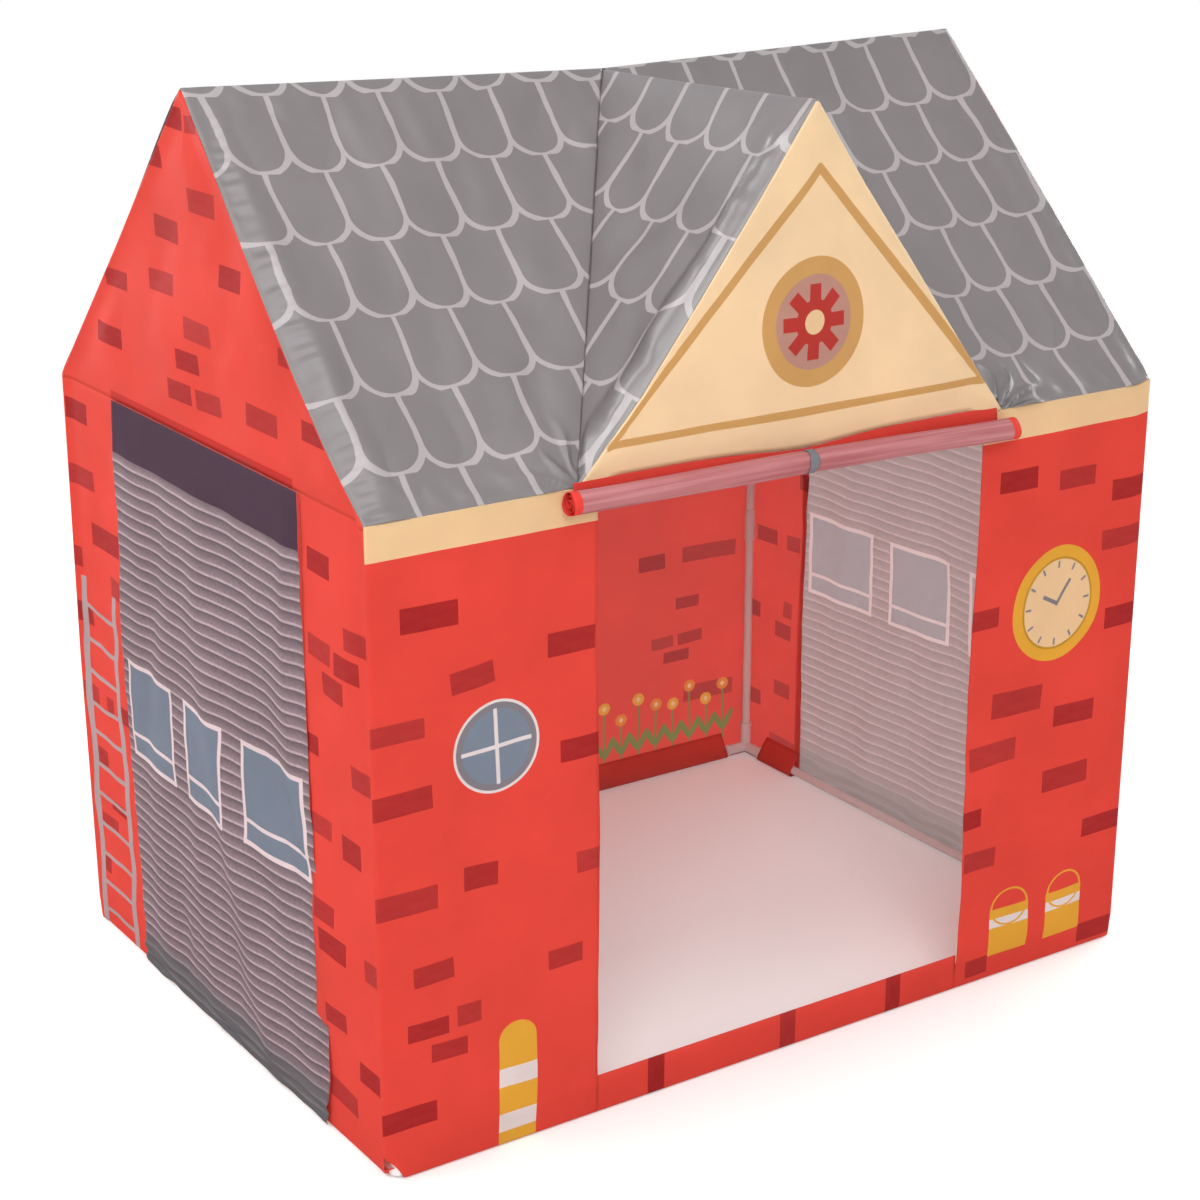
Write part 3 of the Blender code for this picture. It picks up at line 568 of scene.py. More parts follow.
def back_print(tree, where):
    """Bricks, and round flowers on stems with two leaves each."""
    ink = brick_print(tree, where)
    for n in range(9):
        across = 0.735 + 0.030 * n
        top = 0.098 + 0.014 * math.sin(n * 2.4)
        ink = shapes(
            tree, where, ink,
            (LEAF, (across, top / 2 + 0.01), (0.0016, top / 2)),
            (LEAF, (across + 0.009, 0.055), (0.0045, 0.017), -0.5, "disc"),
            (LEAF, (across - 0.009, 0.055), (0.0045, 0.017), 0.5, "disc"),
            (YELLOW if n % 2 else "#E8973F", (across, top + 0.008), (0.010, 0.009), 0, "disc"),
            (CREAM, (across, top + 0.008), (0.0035, 0.0035), 0, "disc"))
    return ink


back_cloth = printed_cloth("printed polyester, flowers", back_print, 0.5)
back = wall_panel("back_cloth", "back", -HALF_LENGTH, HALF_LENGTH, eave_top, back_cloth, BACK_BRICKS, 21)
dress(back, "back_wall")

# End strips
# The red cloth either side of each end's doorway, sewn to the gable's foot above and with a sleeve round the base
# rail below. The free edge of a rear strip hangs a little further in than its seam.
LADDER = "#BDABAC"
END_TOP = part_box("left_end_front_strip")[1][2]
FRONT_STRIP_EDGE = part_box("left_end_front_strip")[1][1] - MIDDLE
BACK_STRIP_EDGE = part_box("left_end_back_strip")[0][1] - MIDDLE
FRONT_STRIP_BRICKS = [
    (89, 138, 627, 651), (15, 62, 565, 588), (35, 84, 532, 556), (92, 142, 537, 560), (67, 112, 503, 527),
    (128, 170, 429, 450), (15, 60, 420, 444), (48, 88, 331, 359), (110, 150, 341, 363), (108, 149, 245, 268),
    (83, 141, 211, 236), (18, 47, 212, 236), (89, 131, 131, 153), (16, 62, 90, 113), (71, 134, 41, 65),
]
BACK_STRIP_BRICKS = [
    (688, 745, 653, 678), (679, 747, 574, 598), (617, 697, 508, 535), (618, 649, 455, 480),
    (730, 770, 470, 495), (710, 770, 400, 425), (660, 682, 300, 320), (600, 640, 300, 322),
    (706, 745, 300, 322), (697, 735, 220, 242), (650, 695, 168, 181), (677, 725, 137, 155),
    (707, 735, 75, 95),
]
RIGHT_BACK_BRICKS = [
    (590, 633, 423, 446), (625, 660, 329, 351), (685, 733, 329, 351), (640, 664, 228, 251),
    (642, 684, 195, 218), (722, 770, 212, 235), (642, 685, 106, 128), (718, 770, 77, 100), (625, 695, 23, 43),
    (690, 740, 520, 545), (630, 680, 600, 624),
]


def wavering(tree, where, scale, reach):
    """The flat place, softly shifted here and there, so that lines waver as if drawn by hand."""
    sway = add_node(tree, "TexNoise", {"Vector": where, "Scale": scale, "Detail": 1.0}, output=1)
    sway = add_node(tree, "VectorMath", {0: sway, 1: (0.5, 0.5, 0.5)}, operation="SUBTRACT")
    sway = add_node(tree, "VectorMath", {0: sway, 1: reach}, operation="MULTIPLY")
    return add_node(tree, "VectorMath", {0: where, 1: sway}, operation="ADD")


def ladder_print(tree, where):
    """Bricks, and a plain ladder drawn by hand: two rails that waver and eleven rungs."""
    ink = brick_print(tree, where)
    drawn = wavering(tree, where, 14.0, (0.014, 0.012, 0))
    for across in (0.640, 0.733):
        ink = shape(tree, drawn, ink, LADDER, (across, 0.2), (0.0062, 0.258))
    for height in (0.022, 0.060, 0.098, 0.137, 0.178, 0.218, 0.260, 0.298, 0.338, 0.380, 0.422):
        ink = shape(tree, drawn, ink, LADDER, (0.6865, height), (0.046, 0.0028))
    return ink


ladder_cloth = printed_cloth("printed polyester, ladder", ladder_print, 0.5)
for side, where_on, first, last, material, bricks, seed, bow in (
    ("left", "front", -HALF_WIDTH, FRONT_STRIP_EDGE, brick_cloth, FRONT_STRIP_BRICKS, 31, 0),
    ("left", "back", BACK_STRIP_EDGE - 0.014, HALF_WIDTH, ladder_cloth, BACK_STRIP_BRICKS, 32, 0),
    ("right", "front", -HALF_WIDTH, FRONT_STRIP_EDGE, brick_cloth, FRONT_STRIP_BRICKS[::-1], 31, 0),
    ("right", "back", BACK_STRIP_EDGE - 0.002, HALF_WIDTH, brick_cloth, RIGHT_BACK_BRICKS, 32, 0.020),
):
    name = f"{side}_{where_on}_strip_cloth"
    strip = wall_panel(name, side, first, last, END_TOP, material, bricks, seed, bow)
    node = f"{side}_end_{where_on}_strip"
    dress(strip, node)

# Gables
# The triangle of red polyester at each end, sewn to the roof along the rafters and to the end strips below. Its
# seam along a rafter is a little puckered.
GABLE_FOOT = END_TOP
GABLE_BRICKS = [
    (378, 415, 1028, 1050), (340, 372, 1028, 1045), (435, 462, 983, 1005), (315, 372, 947, 972),
    (406, 466, 908, 932), (260, 310, 880, 903), (422, 484, 850, 873), (545, 600, 835, 855),
    (335, 396, 811, 835), (150, 181, 824, 842), (369, 420, 775, 797), (326, 382, 738, 760),
    (392, 446, 738, 760), (570, 633, 766, 789), (196, 261, 746, 770), (80, 143, 757, 778),
    (250, 310, 695, 707.5),
]


def gable_print(tree, where):
    """Bricks, and a darker red band where the curtain's head is sewn on."""
    ink = add_node(tree, "RGB")
    ink.default_value = linear(RED)
    ink = shape(tree, where, ink, "#CF3A34", (0.3885, 0.7065), (0.2235, 0.0055))
    return bricks_over(tree, ink)


def triangle(side, foot, apex, pitch, widest, seed):
    """Points and flat places of a triangle of cloth under a pair of rafters."""
    half = HALF_LENGTH if side == "front" else HALF_WIDTH
    tip = apex - 0.002 - pole_edge(SQUARE) / math.cos(pitch)
    height = places(foot, tip, round((tip - foot) / GRID))
    rows = []
    for level in height:
        reach = (apex - level) / math.tan(pitch) - pole_edge(SQUARE) / math.sin(pitch)
        rows.append(places(-min(reach, widest), min(reach, widest), 90, True, True))
    along = np.array(rows)
    height = np.broadcast_to(height[:, None], along.shape)
    from_rafter = (apex - height - np.abs(along) * math.tan(pitch)) * math.cos(pitch)
    depth = over_pole(from_rafter, SQUARE)
    if side != "front":
        depth = np.maximum(depth, over_pole(half - np.abs(along), SQUARE))
    points = pulled(put(side, along, depth, height))
    flat = grid(along + half, height)
    free = easing(from_rafter, 0.05) * easing(height - foot, 0.04)
    u, v = flat[..., 0], flat[..., 1]
    lift = free * (0.0015 + 0.0018 * ripple(u, v, 0.16, seed) + 0.0005 * ripple(u, v, 0.06, seed + 1))
    # Small puckers along the rafters' seams
    pucker = ripple(height / math.sin(pitch), from_rafter * 0.2, 0.016, seed + 2)
    lift += 0.0004 * pucker * band(from_rafter, 0.004, 0.006, 0.01, 0.02)
    return lifted(points, kept_clear(lift, points)), flat


gable_cloth = printed_cloth("printed polyester, gable", gable_print, 0.5)
for side in ("left", "right"):
    widest = HALF_WIDTH - pole_edge(SQUARE)
    points, flat = triangle(side, GABLE_FOOT, RIDGE, PITCH, widest, 41)
    gable = cloth(f"{side}_gable_cloth", points, flat, gable_cloth, GABLE_BRICKS)
    dress(gable, f"{side}_gable")

# Pediment
# The cream triangle of polyester under the dormer's rafters, printed with a tan line along its sides and a round
# badge with a plain rosette. Its foot is free over the doorway, where the tie of the roll pulls it down.
PEDIMENT_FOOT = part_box("pediment")[0][2]
DORMER_HALF = (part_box("pediment")[1][0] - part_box("pediment")[0][0]) / 2 + 0.0008
DORMER_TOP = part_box("dormer_roof_left")[1][2] - 0.0005
DORMER_PITCH = math.atan2(DORMER_TOP - EAVE, DORMER_HALF)
PALE_CREAM = "#F7DDB6"
TAN = "#D8AC6E"
BADGE_RED = "#C4453F"
LOOSE_FOOT = 0.0072
DIP = 0.0075
DIP_REACH = 0.075
SEAM_PULLS += [
    ((-DORMER_HALF, FRONT, EAVE), (0, FRONT, DORMER_TOP), (
        (0, 0, 0), (0.0069, 0, -0.0055), (0.0062, 0, -0.005), (0.0065, 0, -0.001), (0.008, 0, 0.008)), 0.016),
    ((DORMER_HALF, FRONT, EAVE), (0, FRONT, DORMER_TOP), (
        (0, 0, 0), (0.0010, 0, 0.001), (0.003, 0, 0.0025), (0.0045, 0, 0.0035), (0.008, 0, 0.008))),
]


def pediment_print(tree, where):
    """Cream, a tan line parallel to the triangle's three sides, and the badge."""
    ink = add_node(tree, "RGB")
    ink.default_value = linear(PALE_CREAM)
    corners = ((0.2655, 0.7415), (0.7595, 0.7440), (0.5225, 0.9950))
    for n, (x, y) in enumerate(corners):
        next_x, next_y = corners[(n + 1) % 3]
        middle = ((x + next_x) / 2, (y + next_y) / 2)
        length = math.hypot(next_x - x, next_y - y)
        turn = math.atan2(next_y - y, next_x - x)
        ink = shape(tree, where, ink, TAN, middle, (length / 2 + 0.003, 0.0046), turn)
    badge = (0.5185, 0.8375)
    return shapes(
        tree, where, ink,
        (TAN, badge, (0.0665, 0.0685), 0, "disc"),
        ("#C79A8C", badge, (0.049, 0.050), 0, "disc"),
        *((BADGE_RED, badge, (0.040, 0.0075), n * math.pi / 4) for n in range(4)),
        (BADGE_RED, badge, (0.024, 0.024), 0, "disc"),
        (CREAM, badge, (0.013, 0.013), 0, "disc"))


def foot_dip(x):
    """How far the pediment's foot is pulled down where the roll's tie is sewn to it."""
    return DIP * np.exp(-(x / DIP_REACH) ** 2)


pediment_cloth = printed_cloth("printed polyester, pediment", pediment_print, 0.5)
points, flat = triangle("front", PEDIMENT_FOOT, DORMER_TOP, DORMER_PITCH, DORMER_HALF, 51)
x, z = points[..., 0], points[..., 2]
near_foot = 1 - easing(z - PEDIMENT_FOOT, 0.05)
in_doorway = easing(x - LEFT_JAMB - 0.004, 0.02) * easing(RIGHT_JAMB - 0.004 - x, 0.02)
points[..., 2] += near_foot * (LOOSE_FOOT - foot_dip(x)) * in_doorway
pediment = cloth("pediment_cloth", points, flat, pediment_cloth)
dress(pediment, "pediment")

# Roof
# Five panels of satin grey polyester printed with rounded tiles. They are sewn together along the ridge and the
# dormer's valleys, hang a little between the poles, and bend over the rafters at their ends.
RIDGE_DIP = 0.012
SLOPE = math.hypot(HALF_WIDTH, RIDGE - EAVE)
TILE_WIDTH = 0.0667
TILE_ROW = 0.0895
TILE_CURVE = 0.029
LEFT_TILES = (0.0185, 0.0772)
RIGHT_TILES = (0.0, 0.0968)
SAG = 0.006
SIDE_RIDGE = 0.003
DORMER_RIDGE = 0.005
CRUMPLES = {1: 0.003, -1: 0.011}


def tile_print(tree, where):
    """Rows of tiles with rounded feet, drawn by hand in a paler line, each row shifted by half a tile."""
    drawn = wavering(tree, where, 9.0, (0.016, 0.016, 0))
    split = add_node(tree, "SeparateXYZ", {0: drawn}).node
    across, up = split.outputs[0], split.outputs[1]
    raised = add_node(tree, "Math", {0: up, 1: TILE_CURVE}, operation="ADD")
    rows = add_node(tree, "Math", {0: raised, 1: TILE_ROW}, operation="DIVIDE")
    row = add_node(tree, "Math", {0: rows}, operation="FLOOR")
    cusp = add_node(tree, "Math", {0: row, 1: TILE_ROW}, operation="MULTIPLY")
    above = add_node(tree, "Math", {0: up, 1: cusp}, operation="SUBTRACT")
    shift = add_node(tree, "Math", {0: row, 1: TILE_WIDTH / 2}, operation="MULTIPLY")
    moved = add_node(tree, "Math", {0: across, 1: shift}, operation="ADD")
    side = add_node(tree, "Math", {0: moved, 1: TILE_WIDTH / 2}, operation="PINGPONG")
    centre = add_node(tree, "Math", {0: TILE_WIDTH / 2, 1: side}, operation="SUBTRACT")
    reach = add_node(tree, "CombineXYZ", {0: centre, 1: above})
    length = add_node(tree, "VectorMath", {0: reach}, output=1, operation="LENGTH")
    inputs = {0: reach, 1: (2 / TILE_WIDTH, 1 / TILE_CURVE, 1)}
    scaled = add_node(tree, "VectorMath", inputs, operation="MULTIPLY")
    share = add_node(tree, "VectorMath", {0: scaled}, output=1, operation="LENGTH")
    on_curve = add_node(tree, "Math", {0: length, 1: share}, operation="DIVIDE")
    arc = add_node(tree, "Math", {0: length, 1: on_curve}, operation="SUBTRACT")
    arc = add_node(tree, "Math", {0: arc}, operation="ABSOLUTE")
    below = add_node(tree, "Math", {0: above, 1: 0.0}, operation="LESS_THAN")
    gap = add_node(tree, "Mix", {0: below, 2: side, 3: arc}, data_type="FLOAT")
    press = add_node(tree, "TexNoise", {"Vector": where, "Scale": 25.0, "Detail": 2.0})
    width = add_node(tree, "MapRange", {0: press, 1: 0.3, 2: 0.7, 3: 0.0024, 4: 0.0040})
    line = add_node(tree, "Math", {0: gap, 1: width}, operation="LESS_THAN")
    inputs = {0: line, 6: linear("#7F797A"), 7: linear("#B2ABAC")}
    return add_node(tree, "Mix", inputs, output=2, data_type="RGBA")


# Satin polyester is smoother than the walls' cloth, so its folds and edges catch soft grey highlights.
roof_cloth = printed_cloth("satin polyester, tiles", tile_print, 0.3, through=0.3, gloss=1.0, back="#BBB6B6")
ridge_turn = PITCH * 2


def main_slope(facing, valley, phase, seed, way=1):
    """Points and flat places of one slope of the main roof.

    A valley says where its far edge lies at the eave, a phase where its rows of tiles start, across and up, and a
    way of -1 mirrors it. The cloth sags between the poles, hangs in soft waves below the ridge, stands up beside
    the gables, and is crumpled at a dormer's foot.
    """
    up = places(pole_edge(SQUARE - PITCH), SLOPE - pole_edge(ridge_turn), 150, True, True)
    start = LEFT + pole_edge(SQUARE)
    if valley is None:
        rows = [places(start, -start, 200, True, True)] * len(up)
    else:
        rows = [places(start, valley * (1 - rise) - 0.0003, 150, True) for rise in up / SLOPE]
    across = np.array(rows)
    up = np.broadcast_to(up[:, None], across.shape)
    dip = RIDGE_DIP * (1 - np.abs(across) / HALF_LENGTH)
    y = MIDDLE + facing * (HALF_WIDTH - up * math.cos(PITCH))
    z = EAVE + (RIDGE - dip - EAVE) * up / SLOPE
    outward = np.array([0, facing * math.sin(PITCH), math.cos(PITCH)])
    from_gable = HALF_LENGTH - np.abs(across)
    depth = over_pole(from_gable, SQUARE) + over_pole(SLOPE - up, ridge_turn) + over_pole(up, SQUARE - PITCH)
    points = pulled(np.stack([across * way, y, z], axis=-1) - outward * depth[..., None])
    free = easing(from_gable, 0.08) * easing(up, 0.08) * easing(SLOPE - up, 0.08)
    if valley is not None:
        line = (valley * (1 - up / SLOPE) - across) * SLOPE / math.hypot(SLOPE, valley)
        free *= easing(line, 0.06)
    lift = free * (-SAG + 0.0022 * ripple(across, up, 0.2, seed) + 0.0008 * ripple(across, up, 0.07, seed + 1))
    # Small puckers along the gable's seam
    pucker = ripple(up, from_gable * 0.15, 0.018, seed + 2)
    lift = lift + 0.0008 * pucker * band(from_gable, 0.003, 0.006, 0.012, 0.03)
    # Waves that run down from the ridge
    hang = ripple(across, up * 0.12, 0.045, seed + 3)
    lift = lift + 0.0011 * hang * band(SLOPE - up, 0.004, 0.02, 0.02, 0.22)
    # The strip beside the gable, which the rafter and its seam hold up
    ridged = band(from_gable, 0.004, 0.018, 0.024, 0.024) * easing(SLOPE - up, 0.05)
    lift = lift + SIDE_RIDGE * ridged * (1 + 0.3 * ripple(up, from_gable * 0.1, 0.09, seed + 7))
    # Tucks along the eave
    tuck = ripple(across, up * 0.5, 0.03, seed + 4)
    lift = lift + 0.0009 * tuck * band(up, 0.003, 0.01, 0.012, 0.05)
    if valley is not None:
        # Creases that fan out from the dormer's foot
        spoke = np.arctan2(up + 0.006, valley + 0.006 - across)
        crumple = (1 - np.abs(np.sin(spoke * 6 + 0.8 * ripple(across, up, 0.08, seed + 5)))) ** 1.5
        lift = lift + CRUMPLES[way] * crumple * band(np.hypot(up, valley - across), 0, 0.01, 0.03, 0.07)
    flat = grid(across + HALF_LENGTH - phase[0], up - phase[1])
    return lifted(points, kept_clear(lift, points)), flat


SEAM_PULLS += [
    ((0, FRONT, DORMER_TOP), (0, MIDDLE, RIDGE - RIDGE_DIP), (
        (0.008, 0, 0.008), (0.004, 0, 0.0055), (0.001, 0, 0.003), (0, 0, 0.002))),
    ((LEFT, MIDDLE, RIDGE), (0, MIDDLE, RIDGE - RIDGE_DIP), ((-0.004, 0, 0.003), (0, 0, 0.002), (0, 0, 0.002))),
    ((RIGHT, MIDDLE, RIDGE), (0, MIDDLE, RIDGE - RIDGE_DIP), ((-0.0015, 0, 0.006), (0, 0, 0.004), (0, 0, 0.002))),
]
points, flat = main_slope(-1, -DORMER_HALF, LEFT_TILES, 61)
flat = flat * (1, 0.975)
roof = cloth("roof_front_left_cloth", points, flat, roof_cloth)
dress(roof, "roof_front_left")
points, flat = main_slope(-1, -DORMER_HALF, RIGHT_TILES, 64, -1)
flat = flat * (-1, 1) + (2 * HALF_LENGTH - 0.549, 0)
roof = cloth("roof_front_right_cloth", points, flat, roof_cloth)
dress(roof, "roof_front_right")
points, flat = main_slope(1, None, LEFT_TILES, 67)
roof = cloth("roof_back_cloth", points, flat, roof_cloth)
dress(roof, "roof_back")

# The dormer's two slopes are triangles from its front rafters back to the valleys.
dormer_turn = DORMER_PITCH * 2
DORMER_SLOPE = math.hypot(DORMER_HALF, DORMER_TOP - EAVE)
foot = np.array([-DORMER_HALF, FRONT, EAVE])
front_top = np.array([0, FRONT, DORMER_TOP])
back_top = np.array([0, MIDDLE, RIDGE - RIDGE_DIP])
to_front, to_back = front_top - foot, back_top - foot
outward = np.cross(to_back, to_front)
outward /= np.linalg.norm(outward)
if outward[2] < 0:
    outward = -outward
up = places(0.0006, DORMER_SLOPE - pole_edge(dormer_turn), 90, False, True)
rows = []
for rise in up / DORMER_SLOPE:
    edge = min(pole_edge(SQUARE), HALF_WIDTH * rise * 0.4)
    tucked = 0.005 * min(1, (1 - rise) * 8)
    rows.append(places(edge, HALF_WIDTH * rise + tucked, 80, True, False))
back_run = np.array(rows)
up = np.broadcast_to(up[:, None], back_run.shape)
rise = up / DORMER_SLOPE
points = foot + to_front * rise[..., None] + (to_back - to_front) * (back_run / HALF_WIDTH)[..., None]
depth = over_pole(back_run, SQUARE) + over_pole(DORMER_SLOPE - up, dormer_turn)
points = points - outward * depth[..., None]
to_valley = (HALF_WIDTH * rise - back_run) * 0.6
free = easing(back_run - 0.012, 0.04) * easing(DORMER_SLOPE - up, 0.06) * easing(to_valley, 0.05)
lift = free * (-SAG + 0.002 * ripple(back_run, up, 0.16, 71) + 0.0008 * ripple(back_run, up, 0.06, 72))
# Small puckers along the front edge, and behind them the strip that the rafter and its seam hold up
pucker = ripple(up, back_run * 0.3, 0.022, 73)
lift = lift + 0.0012 * pucker * band(back_run, 0.006, 0.01, 0.016, 0.03)
ridged = band(back_run, 0.004, 0.022, 0.028, 0.022) * easing(to_valley, 0.01) * easing(DORMER_SLOPE - up, 0.06)
lift = lift + DORMER_RIDGE * ridged * (1 + 0.3 * ripple(up, back_run * 0.1, 0.09, 74))
flat = grid(back_run + 0.0225, up * 0.953 - 0.1285)
for side, way in (("left", 1), ("right", -1)):
    spots = pulled(points * (way, 1, 1))
    spots = lifted(spots, kept_clear(lift, spots))
    roof = cloth(f"dormer_roof_{side}_cloth", spots, flat, roof_cloth)
    dress(roof, f"dormer_roof_{side}")

# End curtains
# Each end's doorway is closed by a loose curtain of thin grey polyester, printed as a roller shutter with three
# windows. It is sewn to the gable's foot only, and hangs in slanting folds down to its bunched foot.
CURTAIN_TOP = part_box("left_curtain")[1][2]
CURTAIN_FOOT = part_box("left_curtain")[0][2]
CURTAIN_START = 0.1545
CURTAIN_WIDTH = 0.4535
STRIPE = 0.014
DARK_HEAD = 0.641
WINDOWS = ((0.165, 0.298), (0.337, 0.441), (0.473, 0.595))
WINDOW_UP = 0.3365
WINDOW_HALF = 0.0585
WINDOW_EDGE = 0.0055


def shutter_print(tree, where):
    """Slats with a pale line and a soft shadow each, a dark head, three windows and a greyer foot."""
    split = add_node(tree, "SeparateXYZ", {0: where}).node
    up = split.outputs[1]
    slat = add_node(tree, "Math", {0: up, 1: STRIPE}, operation="DIVIDE")
    slat = add_node(tree, "Math", {0: slat}, operation="FRACT")
    fade = add_node(tree, "MapRange", {0: slat, 1: 0.25, 2: 0.95, 3: 0.0, 4: 1.0})
    inputs = {0: fade, 6: linear("#A3949A"), 7: linear("#7B7077")}
    ink = add_node(tree, "Mix", inputs, output=2, data_type="RGBA")
    line = add_node(tree, "Math", {0: slat, 1: 0.2}, operation="LESS_THAN")
    inputs = {0: line, 6: ink, 7: linear("#C6B7BD")}
    ink = add_node(tree, "Mix", inputs, output=2, data_type="RGBA")
    speckle = add_node(tree, "TexNoise", {"Vector": where, "Scale": 220.0, "Detail": 3.0})
    speckle = add_node(tree, "MapRange", {0: speckle, 1: 0.3, 2: 0.7, 3: 0.88, 4: 1.10})
    ink = add_node(tree, "VectorMath", {0: ink, "Scale": speckle}, operation="SCALE")
    for left, right in WINDOWS:
        middle, half = (left + right) / 2, (right - left) / 2
        ink = shapes(
            tree, where, ink,
            (PALE, (middle, WINDOW_UP), (half, WINDOW_HALF)),
            (PANE, (middle, WINDOW_UP), (half - WINDOW_EDGE, WINDOW_HALF - WINDOW_EDGE)),
            (PALE, (middle, 0.306), (half, 0.0024)))
    foot = add_node(tree, "MapRange", {0: up, 1: 0.035, 2: 0.055, 3: 0.75, 4: 0.0})
    inputs = {0: foot, 6: ink, 7: linear("#6E7275")}
    ink = add_node(tree, "Mix", inputs, output=2, data_type="RGBA")
    edge = add_node(tree, "Math", {0: up, 1: DARK_HEAD}, operation="GREATER_THAN")
    inputs = {0: edge, 6: ink, 7: linear("#5A4656")}
    return add_node(tree, "Mix", inputs, output=2, data_type="RGBA")


# The curtains' cloth is the thinnest: it is matt, and inside it glows paler than its print.
shutter_cloth = printed_cloth(
    "printed polyester, shutter", shutter_print, 0.6, through=0.52, back="#D6C4BF", back_share=0.55)

# Each fold has its width, and then, from its top down, its height above the floor, its place across from the front
# corner, and how far it stands out or in there.
FOLDS = (
    (0.034, ((0.66, 0.390, 0.000), (0.62, 0.390, 0.003), (0.50, 0.387, 0.008), (0.41, 0.372, 0.010),
             (0.26, 0.320, 0.011), (0.17, 0.292, 0.010), (0.08, 0.264, 0.009), (0.00, 0.250, 0.004))),
    (0.026, ((0.68, 0.165, 0.000), (0.63, 0.165, 0.007), (0.50, 0.185, 0.006), (0.41, 0.178, 0.004),
             (0.34, 0.170, 0.000))),
    (0.034, ((0.66, 0.330, 0.000), (0.62, 0.325, -0.004), (0.50, 0.275, -0.006), (0.41, 0.240, -0.010),
             (0.32, 0.200, -0.012), (0.26, 0.165, -0.013), (0.17, 0.150, -0.010), (0.08, 0.150, -0.005))),
    (0.024, ((0.66, 0.500, 0.000), (0.62, 0.500, -0.005), (0.50, 0.520, -0.006), (0.41, 0.540, -0.007),
             (0.26, 0.560, -0.004), (0.08, 0.580, -0.004), (0.00, 0.580, 0.000))),
    (0.020, ((0.32, 0.420, 0.000), (0.26, 0.412, 0.004), (0.17, 0.412, 0.004), (0.08, 0.400, 0.004),
             (0.00, 0.395, 0.001))),
    (0.020, ((0.25, 0.352, 0.000), (0.17, 0.350, -0.002), (0.08, 0.338, -0.005), (0.00, 0.335, 0.000))),
    (0.022, ((0.30, 0.480, 0.000), (0.17, 0.478, -0.003), (0.08, 0.480, -0.006), (0.00, 0.480, 0.000))),
    (0.020, ((0.56, 0.605, 0.000), (0.45, 0.605, 0.004), (0.34, 0.600, 0.000))),
)


def along_height(height, *knots):
    """A value that changes smoothly between knots of height and value, from the top down."""
    heights, values = zip(*knots[::-1])
    fine = np.linspace(heights[0], heights[-1], 200)
    smooth = np.interp(fine, heights, values)
    for _ in range(6):
        smooth[1:-1] = (smooth[:-2] + smooth[1:-1] * 2 + smooth[2:]) / 4
    return np.interp(height, fine, smooth)


share = np.linspace(0, 1, 131)[None]
height = np.linspace(CURTAIN_TOP, CURTAIN_FOOT, 190)[:, None]
left_front_edge = FRONT_STRIP_EDGE + HALF_WIDTH + along_height(
    height, (0.70, 0.003), (0.50, -0.001), (0.36, -0.003), (0.27, -0.009), (0.20, -0.016), (0.13, -0.022),
    (0.07, -0.022), (0.0, -0.015))
left_rear_edge = BACK_STRIP_EDGE + HALF_WIDTH + along_height(
    height, (0.70, -0.003), (0.62, 0.001), (0.55, -0.006), (0.47, -0.002), (0.40, 0.001), (0.30, -0.005),
    (0.20, -0.009), (0.0, -0.010))
right_front_edge = FRONT_STRIP_EDGE + HALF_WIDTH - 0.014 * easing(CURTAIN_TOP - height, 0.1)
right_rear_edge = BACK_STRIP_EDGE + HALF_WIDTH + 0.026 * easing(CURTAIN_TOP - height, 0.1)
lean_out = along_height(height, (0.70, 0.0), (0.62, 0.004), (0.50, 0.005), (0.41, 0.008), (0.26, 0.011),
                        (0.17, 0.010), (0.08, 0.007), (0.0, 0.003))
above = np.clip((height - CURTAIN_FOOT) / 0.045, 0, 1)
flat = grid(CURTAIN_START + CURTAIN_WIDTH * share, height)
for side, front_edge, rear_edge, fullness in (
    ("left", left_front_edge, left_rear_edge, 0.85),
    ("right", right_front_edge, right_rear_edge, 0.7),
):
    across = front_edge + (rear_edge - front_edge) * share
    # It leans out by itself, and each fold stands out or in from there over its own stretch.
    depth = lean_out + 0 * across
    for width, line in FOLDS:
        centre = along_height(height, *((level, place) for level, place, out in line))
        out = along_height(height, *((level, out) for level, place, out in line))
        out = out * (height < line[0][0]) * (height >= line[-1][0] - 0.001)
        depth = depth + out * np.exp(-((across - centre) / width) ** 2)
    depth = np.maximum(depth, 0) * fullness
    # Its side edges lie nearly flat.
    depth = depth * (0.12 + 0.88 * easing(across - front_edge, 0.035))
    depth = depth * (0.5 + 0.5 * easing(rear_edge - across, 0.06))
    # The foot is bunched in three soft rows.
    crease = 0.5 - 0.5 * np.cos(3 * math.tau * above + 2.5 * ripple(across, height, 0.12, 82))
    depth = depth * (0.3 + 0.7 * easing(height, 0.04)) + 0.0030 * easing(1 - above, 0.5) * crease
    depth = depth + 0.0007 * easing(CURTAIN_TOP - height, 0.1) * ripple(across, height, 0.06, 81)
    depth = 0.0022 + np.maximum(depth, 0) * easing(CURTAIN_TOP - height, 0.03)
    points = put(side, across - HALF_WIDTH, -depth, height)
    name = f"{side}_curtain"
    curtain = cloth(f"{name}_cloth", points, flat, shutter_cloth)
    dress(curtain, name, body=name)

# Rolled door
# The front door is one sheet of the red cloth, rolled up round itself with its pale unprinted side out. Its tie
# pulls it up in the middle, and its ends hang a little lower and show the red side.
ROLL_LOW, ROLL_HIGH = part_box("door_roll")
ROLL_RADIUS = 0.0124
ROLL_Y = ROLL_LOW[1] + ROLL_RADIUS
ROLL_Z = ROLL_LOW[2] + ROLL_RADIUS
ROLL_PITCH = 0.00072
ROLL_TURNS = 14.6
ROLL_STEPS = 28
DOOR_WIDTH = 0.58
DOOR_DROP = 0.66


